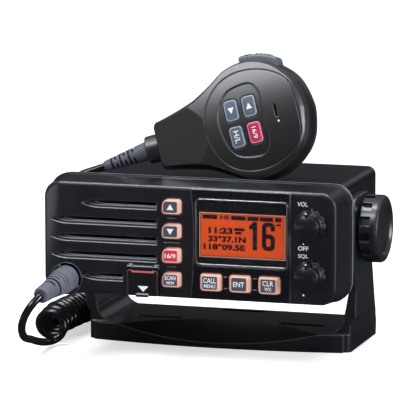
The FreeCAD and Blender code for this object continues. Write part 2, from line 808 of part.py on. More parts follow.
def control_spindle(rise):
    """Spindle from the potentiometer into the knob."""
    front = control_front_y + 2.6
    return rod_y(spindle_radius, control_x, tilt_height + rise, front, pot_y + pot_depth - 1.2)


def potentiometers():
    """Both potentiometers, soldered behind the control board, bored for their spindles."""
    pots = []
    for rise in (volume_rise, squelch_rise):
        z = tilt_height + rise
        half = pot_size / 2
        can = block(control_x - half, control_x + half, pot_y, pot_y + pot_depth, z - half, z + half)
        neck = rod_y(spindle_radius + 0.8, control_x, z, inner_y + 0.2, pot_y + 0.1)
        bore = rod_y(spindle_radius + running_gap, control_x, z, inner_y - 1, pot_y + pot_depth - 1)
        pots.append(can.fuse(neck).cut(bore).removeSplitter())
    return Part.makeCompound(pots)


def distress_cover():
    """Hinged cover: a plate that hangs from a barrel between the bezel's two lugs."""
    y = face_y - cover_gap
    z = tilt_height + cover_hinge_rise
    plate = bar(cover_left, cover_right, cover_low, cover_top, 1.4, y - cover_thick, y)
    hub_y = face_y - cover_gap / 2 - barrel_radius
    barrel = rod(barrel_radius, V(barrel_left, hub_y, z), along_x, barrel_right - barrel_left)
    web = block(barrel_left, barrel_right, y - cover_thick, y - cover_gap, tilt_height + cover_top - 2, z)
    lip = bar(cover_left + 5, cover_right - 5, cover_low - 0.6, cover_low + 1.0, 0.5,
              y - cover_thick - 0.8, y - cover_thick + 0.5)
    body = joined([plate, barrel, web, lip])
    return body.cut(rod(pin_radius + running_gap, V(barrel_left - 1, hub_y, z), along_x,
                        barrel_right - barrel_left + 2))


def distress_hinge_pin():
    hub_y = face_y - cover_gap / 2 - barrel_radius
    return rod(pin_radius, V(cover_left, hub_y, tilt_height + cover_hinge_rise), along_x,
               cover_right - cover_left)


def distress_button():
    """Red button in the tub under the cover."""
    cx, cz = (cover_left + cover_right) / 2, (cover_low + cover_top) / 2
    bw, bh = button_width / 2, button_height / 2
    front = face_y + tub_depth - button_proud
    cap = bar(cx - bw, cx + bw, cz - bh, cz + bh, 1.0, front, key_back_y)
    f = key_flange
    flange = bar(cx - bw - f, cx + bw + f, cz - bh - f, cz + bh + f, 1.0,
                 key_back_y - key_flange_thick, key_back_y)
    return cap.fuse(flange).removeSplitter()


def speaker_parts():
    """The loudspeaker: a pressed basket with its magnet, and the paper cone inside it."""
    start = inner_y + 0.1
    r, m, d = speaker_radius, magnet_radius, speaker_depth
    neck = m * 0.8
    outline = [V(r, 0, 0), V(r, 0, 1.2), V(r - 2.4, 0, 1.4), V(neck, 0, d - 6), V(m, 0, d - 6),
               V(m, 0, d), V(0, 0, d), V(0, 0, d - 5), V(neck - 1, 0, d - 6.8), V(r - 3.2, 0, 0)]
    basket = Part.Face(Part.makePolygon(outline + outline[:1])).revolve(V(0, 0, 0), along_z, 360)
    cone = [V(r - 3.6, 0, -0.05), V(r - 4.0, 0, 0.45), V(5, 0, d - 9.2), V(0, 0, d - 7.6),
            V(0, 0, d - 8.2), V(4.6, 0, d - 9.8)]
    paper = Part.Face(Part.makePolygon(cone + cone[:1])).revolve(V(0, 0, 0), along_z, 360)
    turn = FreeCAD.Placement(V(speaker_x, start, tilt_height + speaker_rise),
                             FreeCAD.Rotation(along_x, -90)).toMatrix()
    return basket.transformed(turn), paper.transformed(turn)


def main_board():
    """Main circuit board on the chassis posts."""
    board = block(-board_half, board_half, board_front_y, board_back_y, board_z, board_z + board_thick)
    holes = [rod(screw_radius + 0.2, V(s * post_x, y, board_z - 1), along_z, board_thick + 2)
             for s in (-1, 1) for y in (board_front_y + 6, board_back_y - 6)]
    return board.cut(holes)


def rf_shield():
    """Tinned steel can over the radio circuits, open below."""
    z = board_z + board_thick
    t = shield_wall
    can = block(shield_left, shield_right, shield_front, shield_back, z, z + shield_height)
    return can.cut(block(shield_left + t, shield_right - t, shield_front + t, shield_back - t, z - 1,
                         z + shield_height - t))


def power_amplifier():
    """Transmitter module, on the board and flat against the back wall, with its mounting ears."""
    z = board_z + board_thick
    body = block(amplifier_left, amplifier_right, rear_wall_y - amplifier_depth, rear_wall_y, z, z + amplifier_height)
    ears = block(amplifier_left - ear_reach, amplifier_right + ear_reach, rear_wall_y - ear_depth, rear_wall_y, z,
                 z + amplifier_height)
    return body.fuse(ears).removeSplitter()


def chassis_screws():
    """All the radio's screws: four hold the bezel, four the main board and four the socket."""
    screws = [screw(V(x, chassis_flange_y + flange_thick, tilt_height + rise), V(0, -1, 0))
              for x, rise in fixing_points()]
    screws += [screw(V(s * post_x, y, board_z + board_thick), V(0, 0, -1))
               for s in (-1, 1) for y in (board_front_y + 6, board_back_y - 6)]
    back = rear_wall_y + rear_wall + socket_flange_thick
    screws += [screw(V(socket_x + s * socket_hole_half, back,
                       tilt_height + socket_rise + t * socket_hole_half), V(0, -1, 0))
               for s in (-1, 1) for t in (-1, 1)]
    return Part.makeCompound(screws)


def antenna_socket():
    """Square-flanged coaxial socket with a plain barrel."""
    y = rear_wall_y + rear_wall
    z = tilt_height + socket_rise
    half = socket_flange / 2
    flange = block(socket_x - half, socket_x + half, y, y + socket_flange_thick, z - half, z + half)
    barrel = rod_y(socket_radius, socket_x, z, y, y + socket_flange_thick + socket_length)
    tail = rod_y(socket_radius - 1.2, socket_x, z, rear_wall_y, y)
    body = flange.fuse([barrel, tail]).removeSplitter()
    cutters = [rod_y(socket_bore, socket_x, z, y, y + socket_flange_thick + socket_length + 1)]
    for s in (-1, 1):
        for t in (-1, 1):
            cutters.append(rod_y(screw_radius + running_gap, socket_x + s * socket_hole_half,
                                 z + t * socket_hole_half, y - 1, y + socket_flange_thick + 1))
    return body.cut(cutters)


def antenna_insulator():
    """White insulator with the centre contact's bore."""
    y = rear_wall_y + rear_wall
    z = tilt_height + socket_rise
    plug = rod_y(socket_bore - running_gap, socket_x, z, y, y + socket_length - 2)
    return plug.cut(rod_y(contact_bore, socket_x, z, y + 2, y + socket_length))


def cable_grommets():
    """Two grommets for the power and accessory leads."""
    rings = []
    lip = grommet_lip
    r = grommet_radius
    for s in (-1, 1):
        x, z = socket_x + s * grommet_spacing / 2, tilt_height + grommet_rise
        y0, y1 = rear_wall_y, rear_wall_y + rear_wall
        ring = rod_y(r, x, z, y0 - lip, y1 + lip)
        ring = ring.fuse([rod_y(r + lip, x, z, y0 - lip, y0), rod_y(r + lip, x, z, y1, y1 + lip)])
        rings.append(ring.cut(rod_y(grommet_bore, x, z, y0 - 5, y1 + 5)).removeSplitter())
    return Part.makeCompound(rings)


def tilt_knob(side):
    """Hand knob: a smooth outer ring, grip recesses round the rim and a dished face."""
    R, d = knob_radius, knob_depth
    dish = 1.6
    profile = [V(0, 0, 0), V(R * 0.62, 0, 0), V(R * 0.7, 0, 0.8), V(R - 1.0, 0, 0.8), V(R, 0, 1.8),
               V(R, 0, d - 2.0), V(R - 0.7, 0, d - 0.6), V(R - 2.0, 0, d), V(R - 4.2, 0, d),
               V(R - 5.2, 0, d - dish + 0.3)]
    edges = [Part.makeLine(a, b) for a, b in zip(profile, profile[1:])]
    edges.append(axis_arc(profile[-1], d - dish))
    edges.append(Part.makeLine(V(0, 0, d - dish), V(0, 0, 0)))
    body = Part.Face(Part.Wire(edges)).revolve(V(0, 0, 0), along_z, 360)
    cutters = []
    for i in range(knob_grips):
        pocket = block(R - grip_depth, R + 2, -grip_width / 2, grip_width / 2, 0.7, 0.7 + grip_length)
        pocket.rotate(V(0, 0, 0), along_z, 360.0 * i / knob_grips)
        cutters.append(pocket)
    cutters.append(rod(stud_radius, V(0, 0, -1), along_z, 1 + d - dish - 2.4))
    body = body.cut(cutters)
    x = side * (arm_outer_half + 0.3)
    turn = FreeCAD.Placement(V(x, 0, tilt_height), FreeCAD.Rotation(along_y, side * 90))
    return body.transformed(turn.toMatrix())


def tilt_stud(side):
    """Steel stud moulded into a knob, through the arm and into the chassis boss."""
    outer = arm_outer_half + 0.3 + knob_depth - 1.6 - 2.4
    inner = chassis_width / 2 - stud_reach + 1.0
    start = inner if side > 0 else -outer
    return rod(stud_radius, V(start, 0, tilt_height), along_x, outer - inner)


def boot_direction():
    """The panel boot points forward, and a little down and outwards."""
    d = V(-5.2, -27.6, -4.9)
    return d.normalize()


def boot_tip():
    base = V(boot_base_x, face_y, tilt_height + boot_base_rise)
    return base + boot_direction().multiply(boot_length)


def strain_relief(base, direction, r_base, r_tip, length, flange):
    """A tapered boot with ring grooves; it starts with a flange and points along direction."""
    taper = (r_base - r_tip) / length
    points = [V(0, 0, -flange), V(r_base + 1.1, 0, -flange), V(r_base + 1.1, 0, -flange + 1.2),
              V(r_base, 0, -flange + 1.2), V(r_base, 0, length * 0.18)]
    step = length * 0.74 / (boot_grooves + 0.5)
    for i in range(boot_grooves):
        z = length * 0.24 + i * step
        for dz, cut in ((0, 0), (0, 1.0), (step * 0.34, 1.0), (step * 0.34, 0)):
            points.append(V(r_base - taper * (z + dz) - cut, 0, z + dz))
    points += [V(r_tip + 0.2, 0, length - 0.8), V(r_tip - 0.4, 0, length), V(0, 0, length)]
    body = Part.Face(Part.makePolygon(points + points[:1])).revolve(V(0, 0, 0), along_z, 360)
    turn = FreeCAD.Placement(base, FreeCAD.Rotation(along_z, direction))
    return body.transformed(turn.toMatrix())


def panel_cord_boot():
    """Grey strain relief in the face's lower left corner, cut flat where it passes the collar."""
    base = V(boot_base_x, face_y, tilt_height + boot_base_rise)
    return strain_relief(base, boot_direction(), boot_base_radius, boot_tip_radius, boot_length, 2.0)


def panel_cord_collar():
    """Black ring that seats the boot in the face."""
    z = tilt_height + boot_base_rise
    ring = rod_y(collar_radius - running_gap, boot_base_x, z, face_y - 1.0, inner_y)
    base = V(boot_base_x, face_y, z)
    d = boot_direction()
    hole = rod(boot_base_radius + 1.35, base - V(d).multiply(8), d, 8.3)
    neck = rod(boot_base_radius + 0.25, base - V(d).multiply(1), d, 8)
    return ring.cut([hole, neck])


def mic_placement():
    roll = FreeCAD.Rotation(along_y, -mic_roll)
    lean = FreeCAD.Rotation(along_x, -mic_lean)
    return FreeCAD.Placement(V(*mic_centre), lean.multiply(roll))


def placed(shape):
    """A shape from the microphone's frame, where the microphone rests."""
    return shape.transformed(mic_placement().toMatrix())


def mic_outline(y, inset=0.0):
    """The microphone's outline across v, in the plane at y, drawn in by an inset."""
    W, E, H, K = mic_half_width, mic_end, mic_heel, mic_heel_half
    ku = (E - H - 2 * inset) / (E - H)
    kv = (W - inset) / W
    mid = (E + H) / 2

    def p(u, v):
        return V(mid + (u - mid) * ku, y, v * kv)

    half = [
        (p(H, 0), None, p(H, K - 3.5)),
        (p(H, K - 3.5), p(H + 1.0, K - 0.9), p(H + 3.6, K + 0.1)),
        (p(H + 3.6, K + 0.1), p(-40, 15.6), p(-29, 19.0)),
        (p(-29, 19.0), p(-19, 24.4), p(-10, 30.2)),
        (p(-10, 30.2), p(-4, 32.0), p(4, W)),
        (p(4, W), p(14.6, 29.9), p(23.6, 24.0)),
        (p(23.6, 24.0), p(28.1, 19.2), p(31.0, 13.6)),
        (p(31.0, 13.6), p(32.8, 7.0), p(E, 0)),
    ]
    edges = []
    for a, m, b in half:
        edges.append(Part.makeLine(a, b) if m is None else Part.Arc(a, m, b).toShape())
    for a, m, b in reversed(half):
        a2, b2 = V(a.x, a.y, -a.z), V(b.x, b.y, -b.z)
        if m is None:
            edges.append(Part.makeLine(b2, a2))
        else:
            edges.append(Part.Arc(b2, V(m.x, m.y, -m.z), a2).toShape())
    return Part.Wire(edges)


def mic_side(inset):
    """Side view that thins the handle towards its heel, as a prism across v."""
    d = mic_half_depth - inset
    points = [V(mic_heel - 1, -d + 4.5, -50), V(plate_left - 2, -d, -50), V(mic_end + 1, -d, -50),
              V(mic_end + 1, d, -50), V(-6, d, -50), V(mic_heel - 1, d - 4.5, -50)]
    return Part.Face(Part.makePolygon(points + points[:1])).extrude(V(0, 0, 100))


def crowned(depth):
    """The room behind the crowned front of the microphone, from a depth under its surface."""
    return rod(mic_crown - depth, V(mic_heel - 30, mic_crown - mic_half_depth, 0), along_x,
               mic_end - mic_heel + 60)


def closed_curve(corners):
    """A smooth closed line through points."""
    curve = Part.BSplineCurve()
    curve.interpolate(corners, PeriodicFlag=True)
    return Part.Wire([curve.toShape()])


def mic_half(sign):
    """Half of the microphone's case, hollow: -1 is the front and +1 the back."""
    d = mic_half_depth
    steps = ((0.0, 0.0), (4.0, 0.25), (8.0, 1.3), (11.0, 3.0), (12.6, 4.6), (d, 6.4))
    solid = loft([mic_outline(sign * y, inset) for y, inset in steps])
    solid = solid.common(mic_side(0.0))
    if sign < 0:
        solid = solid.common(crowned(0))
    hollow = []
    for y0, y1, inset in ((0.0, 5.5, mic_wall), (5.5, 9.0, mic_wall + 2.2),
                          (9.0, d - mic_wall, mic_wall + 5.2)):
        low = min(sign * y0, sign * y1)
        hollow.append(slab(mic_outline(low, inset), y1 - y0))
    inside = joined(hollow).common(mic_side(mic_wall))
    if sign < 0:
        inside = inside.common(crowned(mic_wall))
    return solid.cut(inside)


def plate_outline(y, grow):
    """Outline of the microphone's front plate, with cut corners, grown by a margin."""
    l, r, h = plate_left - grow, plate_right + grow, plate_half + grow
    points = [(l, -h * 0.5), (l + 12.0, -h * 0.94), (l + 25, -h), (r - 11, -h * 0.86),
              (r - 1.4, -h * 0.52), (r, 0), (r - 1.4, h * 0.52), (r - 11, h * 0.86),
              (l + 25, h), (l + 12.0, h * 0.94), (l, h * 0.5)]
    corners = [V(u, y, v) for u, v in points]
    return closed_curve(corners)


def pad_outline(y, grow):
    """Outline of the recess round the microphone's keys."""
    l, r, h = pad_left - grow, pad_right + grow, pad_half + grow
    points = [(l, -h * 0.55), (l + 6.5, -h * 0.93), (l + 12, -h), (r - 3, -h * 0.98), (r, -h * 0.8),
              (r + 0.4, 0), (r, h * 0.8), (r - 3, h * 0.98), (l + 12, h), (l + 6.5, h * 0.93),
              (l, h * 0.55)]
    corners = [V(u, y, v) for u, v in points]
    return closed_curve(corners)


def mic_keys():
    """The microphone's four keys: name, u, v."""
    half_u, half_v = mic_key_pitch_u / 2, mic_key_pitch_v / 2
    return [("mic_down_key", mic_key_u - half_u, half_v), ("mic_up_key", mic_key_u + half_u, half_v),
            ("mic_power_key", mic_key_u - half_u, -half_v),
            ("mic_channel_key", mic_key_u + half_u, -half_v)]


def key_bar(u, v, grow, y0, y1):
    w, h = mic_key_width / 2 + grow, mic_key_height / 2 + grow
    return slab(rounded(u - w, u + w, v - h, v + h, 1.8 + grow, y0), y1 - y0)


def talk_opening():
    g = talk_gap
    return block(talk_left - g, talk_right + g, -talk_half_depth - g, talk_half_depth + g,
                 talk_inner - 3.0, mic_half_width + 10)


def heel_cutters():
    """Bores in the heel for the boot's neck and for its collar."""
    neck = rod(mic_boot_radius - 1.3, V(mic_heel - 1, 0, 0), along_x, 8)
    seat = rod(mic_collar_radius + 0.1, V(mic_heel - 1, 0, 0), along_x, 1 + mic_collar_sunk + 0.1)
    return [neck, seat]


def mic_front_shell():
    """Front half of the case, recessed for its plate and open for the keys."""
    front = -mic_half_depth
    body = mic_half(-1)
    seat = slab(plate_outline(front - 1, plate_gap), 9).cut(crowned(plate_thick))
    window = slab(pad_outline(front - 1, 1.2), 1 + mic_wall + crown_drop + 2)
    slot = block(mic_slot_u - 0.6, mic_slot_u + 0.6, front - 1, front + 6,
                 mic_slot_v - 3.2, mic_slot_v + 3.2)
    return body.cut([seat, window, slot, talk_opening()] + heel_cutters())


def mic_back_shell():
    """Back half of the case, bored for its screws and its hanger."""
    body = mic_half(1)
    cutters = heel_cutters() + [talk_opening()]
    for u, v in mic_screw_points():
        cutters.append(rod_y(screw_head_radius + 0.2, u, v, mic_half_depth - mic_wall / 2,
                             mic_half_depth + 3))
        cutters.append(rod_y(screw_radius + running_gap, u, v, 0, mic_half_depth))
    cutters.append(rod_y(hanger_neck_radius - 1.0, 6.0, 0, mic_half_depth - mic_wall - 1,
                         mic_half_depth + 1))
    return body.cut(cutters)


def mic_screw_points():
    return [(-24.0, 0.0), (14.0, 14.0), (14.0, -14.0)]


def mic_screws():
    seat = mic_half_depth - mic_wall / 2
    return Part.makeCompound([screw(V(u, seat, v), V(0, -1, 0)) for u, v in mic_screw_points()])


def mic_front_plate():
    """Front plate: a recess with key openings, and the sound slot."""
    front = -mic_half_depth
    plate = slab(plate_outline(front - 1, 0), 8).common(crowned(0)).cut(crowned(plate_thick))
    cutters = [slab(pad_outline(front - 1, 0), 5).cut(crowned(pad_recess))]
    for _, u, v in mic_keys():
        cutters.append(key_bar(u, v, key_gap, front - 1, front + plate_thick + crown_drop + 1))
    cutters.append(block(mic_slot_u - 0.6, mic_slot_u + 0.6, front - 1, front + plate_thick + 1,
                         mic_slot_v - 3.2, mic_slot_v + 3.2))
    return plate.cut(cutters)


def mic_key(u, v):
    """A microphone key: a crown through the plate and a flange behind it."""
    rest = pad_recess - mic_key_proud
    crown = key_bar(u, v, 0, -mic_half_depth - 1, mic_key_back_y + key_flange_thick)
    crown = crown.common(crowned(rest))
    edges = [e for e in crown.Edges if e.BoundBox.YMax < -mic_half_depth + rest + 1.5]
    crown = crown.makeFillet(0.3, edges)
    flange = key_bar(u, v, 0.8, mic_key_back_y, mic_key_back_y + key_flange_thick)
    return crown.fuse(flange).removeSplitter()


def mic_keypad_mat():
    """Rubber mat behind the microphone's keys."""
    y = mic_key_back_y + key_flange_thick + mic_key_travel + 0.1
    return slab(pad_outline(y, -1.4), mat_thick)


def mic_board():
    """The microphone's circuit board, behind the mat."""
    y = mic_key_back_y + key_flange_thick + mic_key_travel + 0.2 + mat_thick
    return slab(rounded(mic_board_left, mic_board_right, -mic_board_half, mic_board_half, mic_board_corner, y),
                board_thick)


def mic_element():
    """Microphone capsule behind the sound slot, in front of the board."""
    board_y = mic_key_back_y + key_flange_thick + mic_key_travel + 0.2 + mat_thick
    return rod_y(4.3, mic_slot_u + 1.2, mic_slot_v, -mic_half_depth + mic_wall + 0.1, board_y)


def talk_button():
    """Push-to-talk bar on the upper edge, with a flange inside the case."""
    cap = slab(mic_outline(-talk_half_depth, -talk_proud), 2 * talk_half_depth).common(
        block(talk_left, talk_right, -20, 20, talk_inner - 1, 60))
    side = [e for e in cap.Edges if e.BoundBox.ZMin > talk_inner + 0.5 and e.Length > 5]
    cap = cap.makeFillet(1.6, side)
    t = 1.6
    flange = block(talk_left - 1.6, talk_right - 3.8, -talk_half_depth - 1.8, talk_half_depth + 1.8,
                   talk_inner - 1 - t, talk_inner - 1)
    grooves = [block(talk_left + 4.4 + 3.2 * i, talk_left + 5.4 + 3.2 * i, -20, 20,
                     mic_half_width + talk_proud - 1.0 - 0.1 * i * i, 60) for i in range(4)]
    return cap.cut(grooves).fuse(flange).removeSplitter()


def mic_collar():
    """Dark nut where the cord's boot enters the case."""
    ring = rod(mic_collar_radius, V(mic_heel - mic_collar_length, 0, 0), along_x,
               mic_collar_length + mic_collar_sunk)
    return ring.cut(rod(mic_boot_radius + 0.1, V(mic_heel - mic_collar_length - 1, 0, 0), along_x, 20))


def mic_boot_direction():
    """The microphone's boot droops a little towards the cord."""
    return V(-1, 0, -mic_boot_droop).normalize()


def mic_cord_boot():
    """Grey strain relief on the microphone's heel, with a stem through the collar."""
    base = V(mic_heel - mic_collar_length, 0, 0)
    body = strain_relief(base, mic_boot_direction(), mic_boot_radius, mic_boot_tip_radius,
                         mic_boot_length, 0.0)
    stem = rod(mic_boot_radius, base, along_x, mic_collar_length - 1.0)
    neck = rod(mic_boot_radius - 1.4, base, along_x, mic_collar_length + 4.5)
    knuckle = Part.makeSphere(mic_boot_radius - 0.05, base)
    return body.fuse([stem, neck, knuckle]).removeSplitter().cut(mic_collar())


def mic_hanger_stud():
    """Round-headed stud on the back, for a clip."""
    y = mic_half_depth
    r, n, h = hanger_radius, hanger_neck_radius, hanger_height
    neck = rod_y(n, 6.0, 0, y + 0.05, y + h - 2)
    head = rod_y(r, 6.0, 0, y + h - 2.4, y + h)
    root = rod_y(n - 1.05, 6.0, 0, y - mic_wall, y + 1)
    rim = [e for e in head.Edges if e.BoundBox.YMin > y + h - 0.01]
    return head.makeFillet(1.0, rim).fuse([neck, root]).removeSplitter()


def tube_path(points):
    """Straight runs joined by tangent arcs, each as large as its two runs allow."""
    path, at = [], points[0]
    radii = []
    for before, here, after in zip(points, points[1:], points[2:]):
        a, b = (here - before), (after - here)
        turn = a.getAngle(b)
        reach = 0.45 * min(a.Length, b.Length)
        radii.append(reach / math.tan(turn / 2))
        start = here - V(a).normalize().multiply(reach)
        end = here + V(b).normalize().multiply(reach)
        centre_way = (V(b).normalize() - V(a).normalize()).normalize()
        rise = radii[-1] * (1 / math.cos(turn / 2) - 1)
        path.append(Part.makeLine(at, start))
        path.append(Part.Arc(start, here + centre_way.multiply(rise), end).toShape())
        at = end
    path.append(Part.makeLine(at, points[-1]))
    return Part.Wire(path), radii


def tube(name, points, diameter):
    """A tube along a route; prints its bends, its length and how its volume compares."""
    wire, radii = tube_path(points)
    way = (points[1] - points[0]).normalize()
    ring = Part.Wire(Part.makeCircle(diameter / 2, points[0], way))
    solid = wire.makePipeShell([ring], True, False)
    expected = math.pi * diameter ** 2 / 4 * wire.Length
    print(name, "length", round(wire.Length, 1), "least radius", round(min(radii), 1),
          "volume ratio", round(solid.Volume / expected, 4), "valid", solid.isValid())
    return solid


def front_lead_route():
    """From the panel boot, forward and down to the floor and back to the first turn of the coil."""
    tip = boot_tip()
    return [tip, V(-74.9, -103.5, 35.2), V(-77.5, -105.6, 31.2), V(-79.9, -105.9, 26.6),
            V(-81.6, -104.5, 21.9), V(-82.3, -101.5, 17.7), V(-82.4, -97.3, 14.6),
            V(-82.7, -90.9, 12.8), V(-84.6, -82.0, 10.9), V(-84.9, -70.0, 7.4),
            V(-85.5, -58.0, 4.6), V(-85.8, -46.5, 2.3)]


def coil_route():
    """The curly stretch's middle line, on the floor beside the bracket."""
    z = coil_diameter / 2
    return [V(-85.8, -46.5, z + 0.1), V(-88.8, -32.0, z + 2.2), V(-89.4, -8.0, z + 1.6),
            V(-88.8, 20.0, z + 0.5), V(-88.9, 48.0, z), V(-89.2, 76.0, z + 0.2)]


def rear_lead_route():
    """From the coil's back end, up behind the radio and forward, under the knob, to the case's side."""
    z = coil_diameter / 2
    return [V(-89.2, 76.0, z + 0.2), V(-89.3, 87.5, z + 0.7), V(-88.9, 96.6, 18.4),
            V(-88.0, 97.0, 30.8), V(-86.8, 88.4, 39.2), V(-85.2, 74.0, 41.0), V(-83.0, 52.0, 39.0),
            V(-81.0, 28.0, 37.0), V(-79.8, 4.0, 36.6), V(-79.5, -10.0, 38.0), V(-79.4, -21.0, 43.0),
            V(-79.4, -28.6, 51.2), V(-79.5, -32.0, 62.0)]


def top_lead_route():
    """From the case's side up over its edge to the microphone's boot."""
    heel = V(mic_heel - mic_collar_length, 0, 0)
    tip = mic_placement().multVec(heel + mic_boot_direction().multiply(mic_boot_length))
    way = mic_placement().Rotation.multVec(mic_boot_direction())
    return [V(-79.5, -32.2, 62.7), V(-79.4, -32.5, 69.0), V(-79.5, -32.8, 76.6),
            V(-78.5, -33.0, 85.2), V(-73.7, -33.0, 91.7), tip + way.multiply(5.0), tip]


def save(name, shape):
    kind = "ok" if shape.isValid() else "INVALID"
    if kind != "ok" or any(not s.isClosed() for s in shape.Shells):
        print(name, kind, "solids", len(shape.Solids))
    shape.exportStep("parts/" + name + ".step")


def build():
    os.makedirs("parts", exist_ok=True)
    basket, cone = speaker_parts()
    pieces = {
        "mounting_bracket": mounting_bracket(),
        "tilt_washers": tilt_washers(),
        "chassis": chassis(),
        "front_gasket": front_gasket(),
        "front_bezel": front_bezel(),
        "chassis_screws": chassis_screws(),
        "display_trim": display_trim(),
        "display_window": display_window(),
        "display_mask": display_mask(),
        "lcd_module": lcd_module(),
        "display_board": display_board(),
        "keypad_mat": keypad_mat(),
        "distress_cover": distress_cover(),
        "distress_hinge_pin": distress_hinge_pin(),
        "distress_button": distress_button(),
        "speaker_basket": basket,
        "speaker_cone": cone,
        "volume_knob": control_knob(volume_rise),
        "volume_spindle": control_spindle(volume_rise),
        "squelch_knob": control_knob(squelch_rise),
        "squelch_spindle": control_spindle(squelch_rise),
        "potentiometers": potentiometers(),
        "main_board": main_board(),
        "rf_shield": rf_shield(),
        "power_amplifier": power_amplifier(),
        "antenna_socket": antenna_socket(),
        "antenna_insulator": antenna_insulator(),
        "cable_grommets": cable_grommets(),
        "tilt_knob_left": tilt_knob(-1),
        "tilt_knob_right": tilt_knob(1),
        "tilt_stud_left": tilt_stud(-1),
        "tilt_stud_right": tilt_stud(1),
        "panel_cord_collar": panel_cord_collar(),
        "panel_cord_boot": panel_cord_boot(),
        "front_cord_lead": tube("front_cord_lead", front_lead_route(), cord_diameter).cut(
            panel_cord_boot()),
        "curly_cord": tube("curly_cord", coil_route(), coil_diameter),
        "rear_cord_lead": tube("rear_cord_lead", rear_lead_route(), cord_diameter),
        "top_cord_lead": tube("top_cord_lead", top_lead_route(), cord_diameter).cut(
            placed(mic_cord_boot())),
        "mic_front_shell": placed(mic_front_shell()),
        "mic_back_shell": placed(mic_back_shell()),
        "mic_front_plate": placed(mic_front_plate()),
        "mic_keypad_mat": placed(mic_keypad_mat()),
        "mic_board": placed(mic_board()),
        "mic_element": placed(mic_element()),
        "mic_screws": placed(mic_screws()),
        "mic_hanger_stud": placed(mic_hanger_stud()),
        "mic_collar": placed(mic_collar()),
        "mic_cord_boot": placed(mic_cord_boot()),
        "talk_button": placed(talk_button()),
    }
    for name, x, rise in side_keys():
        pieces[name] = key_cap(x, rise, side_key_width, side_key_height, face_y - key_proud,
                               key_big_corner)
    for name, x, rise in low_keys():
        pieces[name] = key_cap(x, rise, low_key_width, low_key_height, panel_y - key_proud)
    for name, u, v in mic_keys():
        pieces[name] = placed(mic_key(u, v))
    for name, shape in pieces.items():
        save(name, shape)


build()
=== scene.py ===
"""The looks of a VHF marine radio on its bracket, with a fist microphone resting on the case and a curly cord."""
import math

import bmesh
import bpy
from mathutils import Matrix, Vector, geometry


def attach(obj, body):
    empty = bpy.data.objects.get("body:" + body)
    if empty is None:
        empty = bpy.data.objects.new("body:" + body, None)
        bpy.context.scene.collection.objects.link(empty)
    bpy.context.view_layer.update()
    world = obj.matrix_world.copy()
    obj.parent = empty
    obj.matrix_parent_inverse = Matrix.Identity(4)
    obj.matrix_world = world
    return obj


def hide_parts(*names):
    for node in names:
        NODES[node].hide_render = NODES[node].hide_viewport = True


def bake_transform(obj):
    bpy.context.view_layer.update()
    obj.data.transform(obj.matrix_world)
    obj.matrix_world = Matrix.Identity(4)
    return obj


MM = 0.001
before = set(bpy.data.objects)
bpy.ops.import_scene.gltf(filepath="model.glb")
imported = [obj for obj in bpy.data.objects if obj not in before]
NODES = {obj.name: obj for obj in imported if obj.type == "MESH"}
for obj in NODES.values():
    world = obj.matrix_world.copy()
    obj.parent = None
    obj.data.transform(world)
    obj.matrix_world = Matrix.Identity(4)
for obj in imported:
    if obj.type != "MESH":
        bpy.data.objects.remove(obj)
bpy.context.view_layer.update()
scene = bpy.context.scene
scene.view_settings.view_transform = "Standard"


# ---------------------------------------------------------------- camera
AZIMUTH, ELEVATION, DISTANCE = math.radians(16.67), math.radians(9.37), 2.14492
TARGET = Vector((2.84, -52.0, 82.06)) * MM
SENSOR, LENS = 36.0, 357.76
BACK = Vector((math.sin(AZIMUTH) * math.cos(ELEVATION), -math.cos(AZIMUTH) * math.cos(ELEVATION), math.sin(ELEVATION)))
camera = bpy.data.objects.new("camera", bpy.data.cameras.new("camera"))
scene.collection.objects.link(camera)
camera.data.sensor_width = SENSOR
camera.data.lens = LENS
camera.data.clip_end = 50
camera.location = TARGET + BACK * DISTANCE
camera.rotation_mode = "QUATERNION"
camera.rotation_quaternion = (-BACK).to_track_quat("-Z", "Y")
scene.camera = camera


# ---------------------------------------------------------------- shader helpers
def principled(tree):
    return next(n for n in tree.nodes if n.type == "BSDF_PRINCIPLED")


def tree_of(name):
    mat = bpy.data.materials.new(name)
    mat.use_nodes = True
    return mat, mat.node_tree, principled(mat.node_tree)


def node(tree, kind, **values):
    made = tree.nodes.new(kind)
    for key, value in values.items():
        if key in made.inputs:
            made.inputs[key].default_value = value
        else:
            setattr(made, key, value)
    return made


def rgba(colour):
    return (*colour, 1.0)


def mixed(tree, factor, first, second):
    """A colour mix by a factor socket; each colour is a socket or three numbers."""
    mix = node(tree, "ShaderNodeMix", data_type="RGBA")
    tree.links.new(factor, mix.inputs[0])
    for place, value in ((6, first), (7, second)):
        if isinstance(value, (tuple, list)):
            mix.inputs[place].default_value = rgba(value)
        else:
            tree.links.new(value, mix.inputs[place])
    return mix.outputs[2]


def ramped(tree, value, start, end, low=0.0, high=1.0):
    """low at start, changing evenly to high at end."""
    made = node(tree, "ShaderNodeMapRange")
    for socket, number in (("From Min", start), ("From Max", end), ("To Min", low), ("To Max", high)):
        made.inputs[socket].default_value = number
    tree.links.new(value, made.inputs["Value"])
    return made.outputs["Result"]


def maths(tree, kind, first, second):
    """A maths node's result; first and second are each a socket or a number."""
    made = node(tree, "ShaderNodeMath", operation=kind)
    for socket, value in zip(made.inputs, (first, second)):
        if isinstance(value, float):
            socket.default_value = value
        else:
            tree.links.new(value, socket)
    return made.outputs[0]


def banded(tree, value, stops):
    """A colour that changes with value through stops, each a place and a colour."""
    made = node(tree, "ShaderNodeValToRGB")
    for i, (at, colour) in enumerate(stops):  # a new ramp comes with two stops
        stop = made.color_ramp.elements[i] if i < 2 else made.color_ramp.elements.new(at)
        stop.position = at
        stop.color = rgba(colour)
    tree.links.new(value, made.inputs["Fac"])
    return made.outputs["Color"]


def split(tree, vector):
    made = node(tree, "ShaderNodeSeparateXYZ")
    tree.links.new(vector, made.inputs[0])
    return made.outputs


